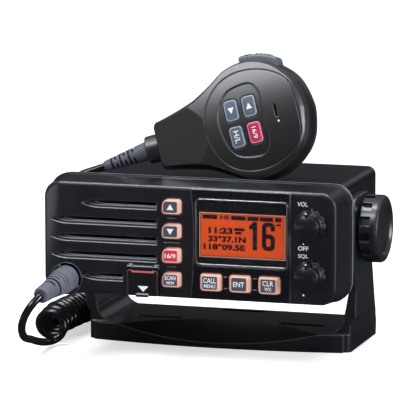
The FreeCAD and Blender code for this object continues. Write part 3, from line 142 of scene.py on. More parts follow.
def rounded(tree, radius):
    """Normals that make edges look rounded by that radius."""
    made = node(tree, "ShaderNodeBevel", samples=6)
    made.inputs["Radius"].default_value = radius
    return made.outputs["Normal"]


def scuff_and_painted_highlight(tree, soft):
    """How scuffed a spot is and how lit by a painted highlight, from its rounded normal: only edges are, and most of
    all those that face up, as a painted highlight of the light from above.
    """
    shape = node(tree, "ShaderNodeNewGeometry")
    alike = node(tree, "ShaderNodeVectorMath", operation="DOT_PRODUCT")
    tree.links.new(soft, alike.inputs[0])
    tree.links.new(shape.outputs["Normal"], alike.inputs[1])
    turn = node(tree, "ShaderNodeVectorTransform", vector_type="NORMAL", convert_from="WORLD", convert_to="OBJECT")
    tree.links.new(soft, turn.inputs[0])
    upward = ramped(tree, split(tree, turn.outputs[0])["Z"], -0.1, 0.3, 0.12, 0.85)
    return maths(tree, "MULTIPLY", ramped(tree, alike.outputs["Value"], 0.985, 0.80), upward)


# ---------------------------------------------------------------- materials
GRAIN_DEPTH = 0.06 * MM


def moulded(name, low, high, rough, grain, bump, coat=0.0, coat_rough=0.15, sub=None, mottle=60.0, spec=0.5,
            edge=0.0, scuff_highlight_colour=None):
    """Moulded plastic or rubber: spark texture in the bump, slow changes of colour, edges a little rounded, scuffed and
    lighter with a painted highlight.
    """
    mat, tree, shader = tree_of(name)
    place = node(tree, "ShaderNodeTexCoord")
    slow = node(tree, "ShaderNodeTexNoise", Scale=mottle, Detail=4.0, Roughness=0.6)
    fine = node(tree, "ShaderNodeTexNoise", Scale=grain, Detail=3.0, Roughness=0.55)
    for noise in (slow, fine):
        tree.links.new(place.outputs["Object"], noise.inputs["Vector"])
    colour = banded(tree, slow.outputs["Fac"], ((0.3, low), (0.72, high)))
    tree.links.new(ramped(tree, fine.outputs["Fac"], 0.3, 0.7, *rough), shader.inputs["Roughness"])
    relief = node(tree, "ShaderNodeBump", Strength=bump, Distance=GRAIN_DEPTH)
    tree.links.new(fine.outputs["Fac"], relief.inputs["Height"])
    if edge:
        soft = rounded(tree, edge)
        tree.links.new(soft, relief.inputs["Normal"])
        # Edges take the lighter colour: partly scuffing, partly a painted highlight.
        colour = mixed(tree, scuff_and_painted_highlight(tree, soft), colour, scuff_highlight_colour)
    if bump:
        tree.links.new(relief.outputs["Normal"], shader.inputs["Normal"])
        if coat:
            tree.links.new(relief.outputs["Normal"], shader.inputs["Coat Normal"])
    tree.links.new(colour, shader.inputs["Base Color"])
    shader.inputs["Specular IOR Level"].default_value = spec
    shader.inputs["Coat Weight"].default_value = coat
    shader.inputs["Coat Roughness"].default_value = coat_rough
    if sub:
        shader.inputs["Subsurface Weight"].default_value = sub
        shader.inputs["Subsurface Radius"].default_value = (0.002, 0.001, 0.0008)
    return mat


def metal(name, colour, rough, edge=0.0):
    """Bare or plated metal, a little uneven in colour and shine."""
    mat, tree, shader = tree_of(name)
    place = node(tree, "ShaderNodeTexCoord")
    fine = node(tree, "ShaderNodeTexNoise", Scale=900.0, Detail=4.0)
    tree.links.new(place.outputs["Object"], fine.inputs["Vector"])
    shade = banded(tree, fine.outputs["Fac"], ((0.0, [c * 0.82 for c in colour]), (1.0, colour)))
    tree.links.new(shade, shader.inputs["Base Color"])
    tree.links.new(ramped(tree, fine.outputs["Fac"], 0.0, 1.0, *rough), shader.inputs["Roughness"])
    shader.inputs["Metallic"].default_value = 1.0
    if edge:
        tree.links.new(rounded(tree, edge), shader.inputs["Normal"])
    return mat


def printed(name, colour, rough=0.45, glow=0.0):
    """Print on plastic, very slightly uneven."""
    mat = moulded(name, [c * 0.93 for c in colour], colour, (rough - 0.05, rough + 0.05), 2500.0, 0.0, mottle=400.0)
    if glow:
        shader = principled(mat.node_tree)
        shader.inputs["Emission Color"].default_value = rgba(colour)
        shader.inputs["Emission Strength"].default_value = glow
    return mat


# Each lighter edge colour below is partly scuffing and partly a painted highlight.
EDGE = 1.0 * MM
case_black = moulded("case_black", (0.0030, 0.0034, 0.0048), (0.0052, 0.0058, 0.0078), (0.28, 0.38), 2600.0, 0.14,
                     coat=0.9, edge=EDGE, scuff_highlight_colour=(0.26, 0.27, 0.31), spec=0.42)
# A grey band at the flange's edge: a painted highlight on the black case.
rim_painted_highlight = moulded("rim_painted_highlight", (0.17, 0.18, 0.225), (0.21, 0.22, 0.27), (0.26, 0.36), 2600.0, 0.1, coat=0.6)
bracket_black = moulded("bracket_black", (0.0075, 0.0085, 0.0105), (0.0125, 0.014, 0.0165), (0.32, 0.44), 1800.0, 0.2,
                        coat=0.5, edge=EDGE, scuff_highlight_colour=(0.20, 0.205, 0.225), spec=0.45)
mic_black = moulded("mic_black", (0.0036, 0.0037, 0.0043), (0.0066, 0.0068, 0.0078), (0.33, 0.45), 1700.0, 0.38,
                    coat=0.9, coat_rough=0.36, edge=1.1 * MM, scuff_highlight_colour=(0.05, 0.052, 0.06), spec=0.8)
knob_black = moulded("knob_black", (0.0035, 0.004, 0.005), (0.006, 0.0065, 0.008), (0.26, 0.36), 2600.0, 0.1,
                     coat=0.7, edge=0.4 * MM, scuff_highlight_colour=(0.16, 0.165, 0.18), spec=0.5)
grip_black = moulded("grip_black", (0.006, 0.0066, 0.0082), (0.014, 0.0152, 0.018), (0.32, 0.44), 1200.0, 0.25,
                     coat=0.5, edge=0.5 * MM, scuff_highlight_colour=(0.34, 0.35, 0.39), spec=0.6)
chassis_black = moulded("chassis_black", (0.0030, 0.0033, 0.0040), (0.0052, 0.0057, 0.0066), (0.40, 0.52), 1500.0, 0.3,
                        coat=0.5, edge=EDGE, scuff_highlight_colour=(0.26, 0.265, 0.29), spec=0.35)
key_salmon = moulded("key_salmon", (0.74, 0.40, 0.31), (0.82, 0.50, 0.40), (0.22, 0.32), 1500.0, 0.04, coat=0.2,
                     sub=0.2, edge=0.35 * MM, scuff_highlight_colour=(0.90, 0.76, 0.71))
key_red = moulded("key_red", (0.50, 0.03, 0.03), (0.60, 0.05, 0.05), (0.22, 0.32), 1500.0, 0.04, coat=0.2, sub=0.1)
mic_key_grey = moulded("mic_key_grey", (0.22, 0.26, 0.32), (0.28, 0.33, 0.40), (0.25, 0.36), 1500.0, 0.05, coat=0.2,
                       sub=0.15, edge=0.2 * MM, scuff_highlight_colour=(0.5, 0.55, 0.62))
mic_key_pink = moulded("mic_key_pink", (0.55, 0.16, 0.22), (0.66, 0.22, 0.30), (0.25, 0.36), 1500.0, 0.05, coat=0.2,
                       sub=0.15, edge=0.2 * MM, scuff_highlight_colour=(0.85, 0.45, 0.52))
talk_grey = moulded("talk_grey", (0.080, 0.092, 0.108), (0.108, 0.124, 0.144), (0.3, 0.42), 2200.0, 0.12,
                    edge=0.4 * MM, scuff_highlight_colour=(0.24, 0.27, 0.30))
boot_grey = moulded("boot_grey", (0.095, 0.096, 0.125), (0.140, 0.141, 0.180), (0.42, 0.55), 1800.0, 0.15)
# Painted shade for the deep faces of the strain reliefs' slots.
boot_slot_shade = moulded("boot_slot_shade", (0.02, 0.02, 0.03), (0.03, 0.03, 0.042), (0.5, 0.6), 1800.0, 0.1)
cord_black = moulded("cord_black", (0.004, 0.004, 0.005), (0.007, 0.007, 0.008), (0.14, 0.22), 900.0, 0.04, coat=0.3)
rubber_black = moulded("rubber_black", (0.007, 0.007, 0.007), (0.011, 0.011, 0.011), (0.6, 0.75), 1500.0, 0.3)
mask_black = moulded("mask_black", (0.0025, 0.003, 0.004), (0.0035, 0.004, 0.0055), (0.1, 0.16), 500.0, 0.0)
board_green = moulded("board_green", (0.012, 0.075, 0.03), (0.02, 0.10, 0.045), (0.3, 0.4), 700.0, 0.1)
cone_black = moulded("cone_black", (0.004, 0.004, 0.004), (0.007, 0.007, 0.007), (0.7, 0.85), 2500.0, 0.6)
insulator = moulded("insulator", (0.75, 0.74, 0.70), (0.82, 0.81, 0.77), (0.4, 0.5), 1500.0, 0.05)
steel = metal("steel", (0.55, 0.55, 0.56), (0.28, 0.42))
nickel = metal("nickel", (0.66, 0.63, 0.58), (0.14, 0.28))
silver = metal("silver", (0.70, 0.72, 0.74), (0.10, 0.20), edge=0.3 * MM)
white_print = printed("white_print", (0.76, 0.78, 0.82))
key_face = moulded("key_face", (0.050, 0.056, 0.070), (0.062, 0.069, 0.086), (0.3, 0.4), 2500.0, 0.05)
red_face = moulded("red_face", (0.52, 0.014, 0.032), (0.58, 0.02, 0.042), (0.3, 0.4), 2500.0, 0.05)
mic_face = moulded("mic_face", (0.075, 0.092, 0.118), (0.10, 0.12, 0.15), (0.28, 0.38), 2500.0, 0.05)
mic_face_red = moulded("mic_face_red", (0.38, 0.018, 0.062), (0.46, 0.026, 0.085), (0.28, 0.38), 2500.0, 0.05)
cover_red = printed("cover_red", (0.52, 0.085, 0.10))
cover_dim = printed("cover_dim", (0.045, 0.004, 0.006))
lcd_orange = printed("lcd_orange", (0.71, 0.070, 0.005), 0.5, 0.08)
lcd_pale = printed("lcd_pale", (0.62, 0.33, 0.22))
lcd_dark = printed("lcd_dark", (0.006, 0.001, 0.001), 0.6)
for mat in (lcd_orange, lcd_dark):
    principled(mat.node_tree).inputs["Specular IOR Level"].default_value = 0.0
lens_clear, _, shader = tree_of("lens_clear")
for socket, value in (("Roughness", 0.04), ("Base Color", (0.1, 0.1, 0.1, 1)), ("Alpha", 0.08), ("IOR", 1.49)):
    shader.inputs[socket].default_value = value

FINISH = {
    "mounting_bracket": bracket_black, "tilt_washers": rubber_black, "chassis": chassis_black,
    "front_gasket": rubber_black, "front_bezel": case_black, "chassis_screws": steel, "display_trim": silver,
    "display_window": lens_clear, "display_mask": mask_black, "lcd_module": lcd_orange, "display_board": board_green,
    "keypad_mat": rubber_black, "distress_cover": case_black, "distress_hinge_pin": steel,
    "distress_button": key_red, "speaker_basket": cone_black, "speaker_cone": cone_black, "volume_knob": knob_black,
    "volume_spindle": steel, "squelch_knob": knob_black, "squelch_spindle": steel, "potentiometers": steel,
    "main_board": board_green, "rf_shield": steel, "power_amplifier": rubber_black, "antenna_socket": nickel,
    "antenna_insulator": insulator, "cable_grommets": rubber_black, "tilt_knob_left": grip_black,
    "tilt_knob_right": grip_black, "tilt_stud_left": steel, "tilt_stud_right": steel,
    "panel_cord_collar": case_black, "panel_cord_boot": boot_grey, "front_cord_lead": cord_black,
    "curly_cord": cord_black, "rear_cord_lead": cord_black, "top_cord_lead": cord_black,
    "mic_front_shell": mic_black, "mic_back_shell": mic_black, "mic_front_plate": mic_black,
    "mic_keypad_mat": rubber_black, "mic_board": board_green, "mic_element": cone_black, "mic_screws": steel,
    "mic_hanger_stud": nickel, "mic_collar": mic_black, "mic_cord_boot": boot_grey, "talk_button": talk_grey,
    "mic_channel_key": mic_key_pink, "mic_down_key": mic_key_grey, "mic_up_key": mic_key_grey,
    "mic_power_key": mic_key_grey,
}
for name, obj in NODES.items():  # the panel's keys, which aren't listed, are salmon
    obj.data.materials.clear()
    obj.data.materials.append(FINISH.get(name, key_salmon))

FACE_Y, PANEL_Y = -72.4, -73.2
ROLL_X, ROLL_DEPTH = -70.0, 32.0


def front_finish(bezel):
    """The front's black: its display panel darker and glossier, its normals rolling back past ROLL_X at the left."""
    mat = moulded("front_black", (0.0042, 0.0046, 0.0062), (0.0092, 0.0098, 0.0124), (0.30, 0.42), 1500.0, 0.3,
                  coat=1.0, coat_rough=0.11, edge=EDGE, scuff_highlight_colour=(0.34, 0.35, 0.40), spec=0.45)
    tree = mat.node_tree
    shader = principled(tree)
    place, soft, relief = (next(n for n in tree.nodes if n.type == kind) for kind in ("TEX_COORD", "BEVEL", "BUMP"))
    inside = bezel.matrix_world.inverted()
    panel_y = (inside @ Vector((0, (FACE_Y + PANEL_Y) / 2 * MM, 0))).y
    roll_x = (inside @ Vector((ROLL_X * MM, 0, 0))).x
    at = split(tree, place.outputs["Object"])
    on_panel = ramped(tree, at["Y"], panel_y + 0.15 * MM, panel_y - 0.15 * MM)
    plain = shader.inputs["Base Color"].links[0].from_socket
    colour = mixed(tree, maths(tree, "MULTIPLY", on_panel, 0.8), plain, (0.0018, 0.0022, 0.0036))
    tree.links.new(colour, shader.inputs["Base Color"])
    plain = shader.inputs["Roughness"].links[0].from_socket
    tree.links.new(maths(tree, "SUBTRACT", plain, maths(tree, "MULTIPLY", on_panel, 0.12)), shader.inputs["Roughness"])
    past = maths(tree, "MAXIMUM", maths(tree, "SUBTRACT", roll_x, at["X"]), 0.0)
    roll = node(tree, "ShaderNodeBump", Strength=1.0, Distance=1.0)
    height = maths(tree, "MULTIPLY", maths(tree, "MULTIPLY", past, past), -ROLL_DEPTH)
    tree.links.new(height, roll.inputs["Height"])
    tree.links.new(soft.outputs["Normal"], roll.inputs["Normal"])
    tree.links.new(roll.outputs["Normal"], relief.inputs["Normal"])
    return mat


bezel = NODES["front_bezel"]
bezel.data.materials[0] = front_finish(bezel)


# ---------------------------------------------------------------- cords
def spline_points(name, points, resolution):
    """The smooth line through a route: its points as a NURBS spline's control points."""
    curve = bpy.data.curves.new(name, "CURVE")
    curve.dimensions = "3D"
    spline = curve.splines.new("NURBS")
    spline.points.add(len(points) - 1)
    for place, p in zip(spline.points, points):
        place.co = (p[0], p[1], p[2], 1.0)
    spline.order_u = 3
    spline.use_endpoint_u = True
    spline.resolution_u = resolution
    obj = bpy.data.objects.new(name, curve)
    scene.collection.objects.link(obj)
    bpy.context.view_layer.update()
    mesh = bpy.data.meshes.new_from_object(obj)
    line = [v.co.copy() for v in mesh.vertices]
    bpy.data.objects.remove(obj)
    bpy.data.curves.remove(curve)
    bpy.data.meshes.remove(mesh)
    clean = [line[0]]
    for p in line[1:]:
        if (p - clean[-1]).length > 1e-6:
            clean.append(p)
    return clean


def length_of(line):
    return sum((b - a).length for a, b in zip(line, line[1:]))


def spaced(line, gap):
    """The same line with points at even distances."""
    total = length_of(line)
    count = max(2, round(total / gap))
    out, walked, i = [line[0].copy()], 0.0, 0
    for k in range(1, count):
        want = total * k / count
        while walked + (line[i + 1] - line[i]).length < want:
            walked += (line[i + 1] - line[i]).length
            i += 1
        part = line[i + 1] - line[i]
        out.append(line[i] + part * ((want - walked) / part.length))
    out.append(line[-1].copy())
    return out


def tube_mesh(name, line, radius, sides, material):
    """A round tube along a line of points, its rings turned as little as possible."""
    mesh = bpy.data.meshes.new(name)
    made = bmesh.new()
    tangents = []
    for i in range(len(line)):
        a, b = line[max(0, i - 1)], line[min(len(line) - 1, i + 1)]
        tangents.append((b - a).normalized())
    side = tangents[0].orthogonal().normalized()
    rings = []
    for i, p in enumerate(line):
        side = (side - tangents[i] * side.dot(tangents[i])).normalized()
        other = tangents[i].cross(side)
        rings.append([made.verts.new(p + (side * math.cos(2 * math.pi * k / sides)
                                          + other * math.sin(2 * math.pi * k / sides)) * radius)
                      for k in range(sides)])
    for a, b in zip(rings, rings[1:]):
        for k in range(sides):
            made.faces.new((a[k], a[(k + 1) % sides], b[(k + 1) % sides], b[k])).smooth = True
    made.faces.new(list(reversed(rings[0])))
    made.faces.new(rings[-1])
    made.normal_update()
    bmesh.ops.recalc_face_normals(made, faces=made.faces)
    made.to_mesh(mesh)
    made.free()
    mesh.materials.append(material)
    obj = bpy.data.objects.new(name, mesh)
    scene.collection.objects.link(obj)
    return obj


CORD = 4.2 * MM
TURN_RADIUS, OPEN_PITCH, CLOSE_PITCH = 7.15 * MM, 9.0 * MM, 5.9 * MM
OPEN_TURNS, CLOSING_TURNS, POINTS_PER_TURN = 1.75, 1.6, 18
EASE_IN, EASE_OUT, NARROWING, STRIDE = 7 * MM, 9 * MM, 8 * MM, 0.25 * MM
FRONT_ROUTE = [(-72.5, -99.9, 38.0), (-74.9, -103.5, 35.2), (-77.5, -105.6, 31.2), (-79.9, -105.9, 26.6),
               (-81.6, -104.5, 21.9), (-82.3, -101.5, 17.7), (-82.4, -97.3, 14.6), (-82.7, -90.9, 12.8),
               (-84.6, -82.0, 10.9), (-84.9, -70.0, 7.4), (-85.5, -58.0, 4.6)]
COIL_ROUTE = [(-85.8, -46.5, 9.4), (-88.8, -32.0, 11.5), (-89.4, -8.0, 10.9), (-88.8, 20.0, 9.8), (-88.9, 48.0, 9.3),
              (-89.2, 76.0, 9.5)]
REAR_ROUTE = [(-89.3, 87.5, 10.0), (-88.9, 96.6, 18.4), (-88.0, 97.0, 30.8), (-86.8, 88.4, 39.2), (-85.2, 74.0, 41.0),
              (-83.0, 52.0, 39.0), (-81.0, 28.0, 37.0), (-79.8, 4.0, 36.6), (-79.5, -10.0, 38.0), (-79.4, -21.0, 43.0),
              (-79.4, -28.6, 51.2), (-79.5, -32.0, 62.0)]
TOP_ROUTE = [(-79.5, -32.2, 62.7), (-79.4, -32.5, 69.0), (-79.5, -32.8, 76.6), (-78.5, -33.0, 85.2),
             (-73.7, -33.0, 91.7), (-63.65, -32.05, 95.0), (-59.01, -31.66, 96.82)]


def metres(points):
    return [Vector(p) * MM for p in points]


def helix(axis):
    """A curly cord's turns round its axis, open in the first three and closer after, easing out at each end."""
    line = spaced(axis, STRIDE)
    total = STRIDE * (len(line) - 1)
    out, angle = [], -math.pi / 2
    next_angle = angle
    for i in range(len(line) - 1):
        along = i / (len(line) - 1) * total
        rate = min(1.0, 0.12 + along / EASE_IN, 0.2 + (total - along) / EASE_OUT)
        turn = angle / (2 * math.pi)
        wobble = 1.0 + 0.05 * math.sin(turn * 2.3) + 0.03 * math.sin(turn * 5.1 + 1.0)
        if angle >= next_angle or i == 0:
            left = min(1.0, (total - along) / NARROWING)
            reach = TURN_RADIUS * (1.0 + 0.02 * math.sin(turn * 3.7)) * (left * left * (3 - 2 * left))
            tangent = (line[min(i + 4, len(line) - 1)] - line[max(i - 4, 0)]).normalized()
            flat = tangent.cross(Vector((0, 0, 1))).normalized()
            rise = flat.cross(tangent).normalized()
            out.append(line[i] + flat * math.cos(angle) * reach + rise * math.sin(angle) * reach)
            next_angle += 2 * math.pi / POINTS_PER_TURN
        closed = min(1.0, max(0.0, (turn - OPEN_TURNS) / CLOSING_TURNS))
        pitch = OPEN_PITCH + (CLOSE_PITCH - OPEN_PITCH) * closed
        angle += 2 * math.pi * STRIDE / pitch * rate * wobble
    return out


coil_axis = spline_points("coil_axis", metres(COIL_ROUTE), 24)
turns = helix(coil_axis)
long_line = spline_points("long_line", metres(FRONT_ROUTE) + turns + metres(REAR_ROUTE), 8)
long_line = spaced(long_line, 0.9 * MM)
top_line = spaced(spline_points("top_line", metres(TOP_ROUTE), 24), 1.2 * MM)


def lay_cord(name, line, nodes):
    """A cord along a line in place of the CAD's stretches."""
    obj = tube_mesh(name, line, CORD / 2, 14, cord_black)
    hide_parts(*nodes)
    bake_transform(obj)


# The long cord rides on no body, so the coil and the loop behind it lie still as the radio tilts.
lay_cord("microphone_cord", long_line, ("front_cord_lead", "curly_cord", "rear_cord_lead"))
lay_cord("microphone_cord_top", top_line, ("top_cord_lead",))


# ---------------------------------------------------------------- detail makers, in millimetres
def arc_points(cx, cz, radius, start, end, steps):
    return [(cx + radius * math.cos(math.radians(start + (end - start) * i / steps)),
             cz + radius * math.sin(math.radians(start + (end - start) * i / steps))) for i in range(steps + 1)]


def round_rect(cx, cz, width, height, radius, top_left=None, steps=5):
    """The outline of a rounded rectangle; its top left corner may have its own radius."""
    tl = radius if top_left is None else top_left
    x0, x1, z0, z1 = cx - width / 2, cx + width / 2, cz - height / 2, cz + height / 2
    return (arc_points(x1 - radius, z0 + radius, radius, -90, 0, steps)
            + arc_points(x1 - radius, z1 - radius, radius, 0, 90, steps)
            + arc_points(x0 + tl, z1 - tl, tl, 90, 180, steps)
            + arc_points(x0 + radius, z0 + radius, radius, 180, 270, steps))


def skin(made, rings, closed=False):
    """Faces from each ring to the next, with both ends shut, or with the last ring joined to the first."""
    for a, b in zip(rings, rings[1:] + rings[:1] if closed else rings[1:]):
        for i in range(len(a)):
            made.faces.new((a[i - 1], a[i], b[i], b[i - 1]))
    if not closed:
        made.faces.new(rings[0])
        made.faces.new(rings[-1])


def prism(made, outline, y0, y1, soft=0.0):
    """A plate from y1 forward to y0 whose front edge may be a little rounded."""
    cx = sum(p[0] for p in outline) / len(outline)
    cz = sum(p[1] for p in outline) / len(outline)
    rings = [(y1, 0.0), (y0 + soft, 0.0), (y0 + soft * 0.3, soft * 0.3), (y0, soft)] if soft else [(y1, 0.0), (y0, 0.0)]
    loops = []
    for y, inset in rings:
        loop = []
        for x, z in outline:
            far = math.hypot(cx - x, cz - z) or 1.0
            loop.append(made.verts.new((x + (cx - x) * inset / far, y, z + (cz - z) * inset / far)))
        loops.append(loop)
    skin(made, loops)


def disc(made, x, z, radius, y0, y1, soft=0.0, steps=20):
    prism(made, arc_points(x, z, radius, 0, 360 - 360 / steps, steps - 1), y0, y1, soft)


def bar(made, x0, x1, z0, z1, y0, y1, radius=0.1, soft=0.0):
    prism(made, round_rect((x0 + x1) / 2, (z0 + z1) / 2, x1 - x0, z1 - z0, radius, steps=2), y0, y1, soft)


def arrow(made, x, z, half, low, high, side, y0, y1):
    """A triangle round x and z that points up, or down where side is -1."""
    prism(made, [(x - half, z - low * side), (x + half, z - low * side), (x, z + high * side)], y0, y1)


def ribbon(made, path, width, y0, y1):
    """A stroke of even width along a path in the x-z plane, with square ends."""
    rows = []
    for i, (x, z) in enumerate(path):
        ax, az = path[max(0, i - 1)]
        bx, bz = path[min(len(path) - 1, i + 1)]
        far = math.hypot(bx - ax, bz - az)
        nx, nz = -(bz - az) / far * width / 2, (bx - ax) / far * width / 2
        rows.append([made.verts.new(p) for p in ((x + nx, y0, z + nz), (x - nx, y0, z - nz),
                                                 (x - nx, y1, z - nz), (x + nx, y1, z + nz))])
    skin(made, rows)


def letters(made, text, width, height, x, z, y0, y1, heavy=0.012):
    """Raised letters of that width and height, centred on x and z, that stand up and read from the front."""
    curve = bpy.data.curves.new("letters", "FONT")
    curve.body = text
    curve.offset = heavy
    curve.extrude = 0.1
    curve.resolution_u = 3
    obj = bpy.data.objects.new("letters", curve)
    scene.collection.objects.link(obj)
    bpy.context.view_layer.update()
    mesh = bpy.data.meshes.new_from_object(obj)
    bpy.data.objects.remove(obj)
    bpy.data.curves.remove(curve)
    xs = [v.co.x for v in mesh.vertices]
    ys = [v.co.y for v in mesh.vertices]
    low, high, left, right = min(ys), max(ys), min(xs), max(xs)
    for v in mesh.vertices:
        v.co = ((v.co.x - (left + right) / 2) * width / (right - left) + x, y0 if v.co.z > 0 else y1,
                (v.co.y - (low + high) / 2) * height / (high - low) + z)
    made.from_mesh(mesh)
    bpy.data.meshes.remove(mesh)


def piece(name, made, material, body, place=None, smooth=False):
    """A mesh drawn in millimetres becomes a piece that rides on a body."""
    bmesh.ops.remove_doubles(made, verts=made.verts, dist=1e-5)
    bmesh.ops.recalc_face_normals(made, faces=made.faces)
    for face in made.faces:
        face.smooth = smooth
    mesh = bpy.data.meshes.new(name)
    made.to_mesh(mesh)
    made.free()
    mesh.transform(Matrix.Scale(MM, 4))
    if place is not None:
        mesh.transform(place)
    mesh.materials.append(material)
    obj = bpy.data.objects.new(name, mesh)
    scene.collection.objects.link(obj)
    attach(obj, body)
    return obj


# ---------------------------------------------------------------- panel keys
SIDE_X, SIDE_FRONT = -9.2, -75.4
LOW_Z, LOW_FRONT = 45.0, -76.2
SIDE_KEYS = [("up", 84.0, "up_button"), ("down", 71.1, "down_button"), ("channel", 58.2, "channel_button"),
             ("scan", 45.3, "scan_button")]
LOW_KEYS = [("call", 12.6, "call_button", "CALL", "MENU"), ("enter", 28.4, "enter_button", "ENT", ""),
            ("clear", 44.2, "clear_button", "CLR", "WX")]


def key_plate(name, outline, front, material, body):
    made = bmesh.new()
    prism(made, outline, front - 0.2, front + 0.1, 0.12)
    piece("plate_" + name, made, material, body)


for name, z, body in SIDE_KEYS:
    key_plate(name, round_rect(SIDE_X + 0.02, z, 7.5, 5.8, 0.7, 1.8), SIDE_FRONT,
              red_face if name == "channel" else key_face, body)
    made = bmesh.new()
    y0, y1 = SIDE_FRONT - 0.27, SIDE_FRONT - 0.15
    if name in ("up", "down"):
        arrow(made, SIDE_X, z, 1.85, 1.45, 1.65, 1 if name == "up" else -1, y0, y1)
    elif name == "channel":
        letters(made, "16/9", 5.9, 2.4, SIDE_X, z, y0, y1)
    else:
        letters(made, "SCAN", 6.0, 2.2, SIDE_X, z + 1.2, y0, y1)
        letters(made, "MEM", 4.2, 1.5, SIDE_X, z - 1.45, y0, y1)
    piece("legend_" + name, made, white_print, body)
for name, x, body, upper, lower in LOW_KEYS:
    key_plate(name, round_rect(x - 0.02, LOW_Z + 0.1, 8.1, 6.9, 0.8), LOW_FRONT, key_face, body)
    made = bmesh.new()
    y0, y1 = LOW_FRONT - 0.27, LOW_FRONT - 0.15
    letters(made, upper, 6.8 if len(upper) > 3 else 6.0, 2.7, x, LOW_Z + (1.4 if lower else 0.1), y0, y1)
    if lower:
        letters(made, lower, 6.2 if len(lower) > 3 else 3.8, 1.9, x, LOW_Z - 1.6, y0, y1)
    piece("legend_" + name, made, white_print, body)

# ---------------------------------------------------------------- small ribs and lettering of the face
made = bmesh.new()
bar(made, SIDE_X - 4.3, SIDE_X + 4.2, 64.25, 65.05, FACE_Y - 0.55, FACE_Y + 0.3, 0.35, 0.25)
for z in (77.6, 51.8):
    bar(made, SIDE_X - 2.4, SIDE_X + 2.5, z - 0.35, z + 0.35, FACE_Y - 0.45, FACE_Y + 0.3, 0.3, 0.2)
for x in (20.5, 36.3):
    for z in (48.0, 42.0):
        bar(made, x - 1.1, x + 1.1, z - 0.35, z + 0.35, PANEL_Y - 0.5, PANEL_Y + 0.3, 0.3, 0.2)
piece("face_ribs", made, case_black, "radio")

made = bmesh.new()
y0, y1 = FACE_Y - 0.07, FACE_Y + 0.1
for text, x, z, width in (("VOL", 61.7, 88.4, 5.5), ("OFF", 62.1, 65.2, 5.6), ("SQL", 62.1, 61.0, 5.5)):
    letters(made, text, width, 2.3, x, z, y0, y1, 0.004)
disc(made, 62.2, 67.5, 0.35, y0, y1)
disc(made, 62.3, 40.6, 0.5, y0, y1)
piece("panel_lettering", made, white_print, "radio")

# ---------------------------------------------------------------- display
LINE_Y, LINE_WIDTH = -71.86, 0.4
INK = (-71.46, -71.40)
made = bmesh.new()
x0, x1, z0, z1 = 6.15, 51.95, 58.5, 81.35
for left, right, low, high in ((x0 - LINE_WIDTH, x1 + LINE_WIDTH, z0 - LINE_WIDTH, z0),
                               (x0 - LINE_WIDTH, x1 + LINE_WIDTH, z1, z1 + LINE_WIDTH),
                               (x0 - LINE_WIDTH, x0, z0, z1), (x1, x1 + LINE_WIDTH, z0, z1)):
    bar(made, left, right, low, high, LINE_Y, LINE_Y + 0.08, 0.05)
piece("display_line", made, lcd_pale, "radio")

made = bmesh.new()
for left, right in ((7.4, 15.3), (22.9, 30.8), (31.6, 37.7), (38.2, 45.6), (46.6, 50.0)):
    bar(made, left, right, 78.2, 80.4, *INK, 0.2)
letters(made, "HI", 4.6, 2.2, 19.2, 79.3, *INK, 0.03)
one = [(34.5, 62.7), (37.0, 62.7), (37.0, 77.8), (34.9, 77.8), (34.0, 76.5), (32.6, 75.6), (32.6, 73.6), (34.5, 73.9)]
prism(made, one, *INK)
six = ([(45.4, 73.2)] + arc_points(43.7, 74.9, 1.7, 0, 90, 5) + arc_points(42.4, 74.9, 1.7, 90, 180, 5)
       + arc_points(42.4, 65.6, 1.7, 180, 270, 5) + arc_points(43.7, 65.6, 1.7, 270, 360, 5)
       + arc_points(43.7, 68.7, 1.7, 0, 90, 5) + [(40.7, 70.4)])
ribbon(made, six, 2.4, *INK)
bar(made, 46.9, 49.8, 76.2, 76.8, *INK, 0.1)
bar(made, 47.3, 49.4, 77.0, 77.4, *INK, 0.1)
bar(made, 24.5, 30.2, 72.5, 74.0, *INK, 0.2)
bar(made, 25.0, 28.6, 70.7, 72.1, *INK, 0.2)
for text, width, x, z in (("11:23", 13.1, 17.15, 72.3), ("33°37.1N", 20.4, 20.6, 67.9),
                          ("118°09.5E", 22.7, 19.25, 63.6)):
    letters(made, text, width, 3.4, x, z, *INK, 0.05)
piece("display_figures", made, lcd_dark, "radio")


# ---------------------------------------------------------------- satin grey rim at the back of the moulded front: a painted highlight along the flange's edge
RIM_PROFILE = ((0.1, -0.4), (0.1, 0.02), (0.5, 0.16), (5.0, 0.16), (5.4, 0.0), (5.4, -0.4))
FLAT_HALF_WIDTH, FLAT_HALF_HEIGHT = 60, 20


def hull_at(obj, y):
    """The outline, in millimetres, of a body cut across at that y."""
    made = bmesh.new()
    made.from_mesh(obj.data)
    made.transform(obj.matrix_world)
    cut = bmesh.ops.bisect_plane(made, geom=made.verts[:] + made.edges[:] + made.faces[:], plane_co=(0, y, 0),
                                 plane_no=(0, 1, 0))
    points = [(v.co.x / MM, v.co.z / MM) for v in cut["geom_cut"] if isinstance(v, bmesh.types.BMVert)]
    made.free()
    return [points[i] for i in geometry.convex_hull_2d([Vector(p) for p in points])]


def pushed(value, middle, out, half):
    """value moved outward from the middle by out, or by less nearer to it than half."""
    return value + out * math.copysign(1, value - middle) * min(1.0, abs(value - middle) / half)


rear = max((bezel.matrix_world @ v.co).y for v in bezel.data.vertices)
outline = hull_at(bezel, rear - 1.2 * MM)
middle = Vector([sum(p[i] for p in outline) / len(outline) for i in (0, 1)])
made = bmesh.new()
rows = [[made.verts.new((pushed(x, middle.x, out, FLAT_HALF_WIDTH), rear / MM - ahead,
                         pushed(z, middle.y, out, FLAT_HALF_HEIGHT))) for x, z in outline]
        for ahead, out in RIM_PROFILE]
skin(made, rows, closed=True)
piece("bezel_painted_highlight_rim", made, rim_painted_highlight, "radio")

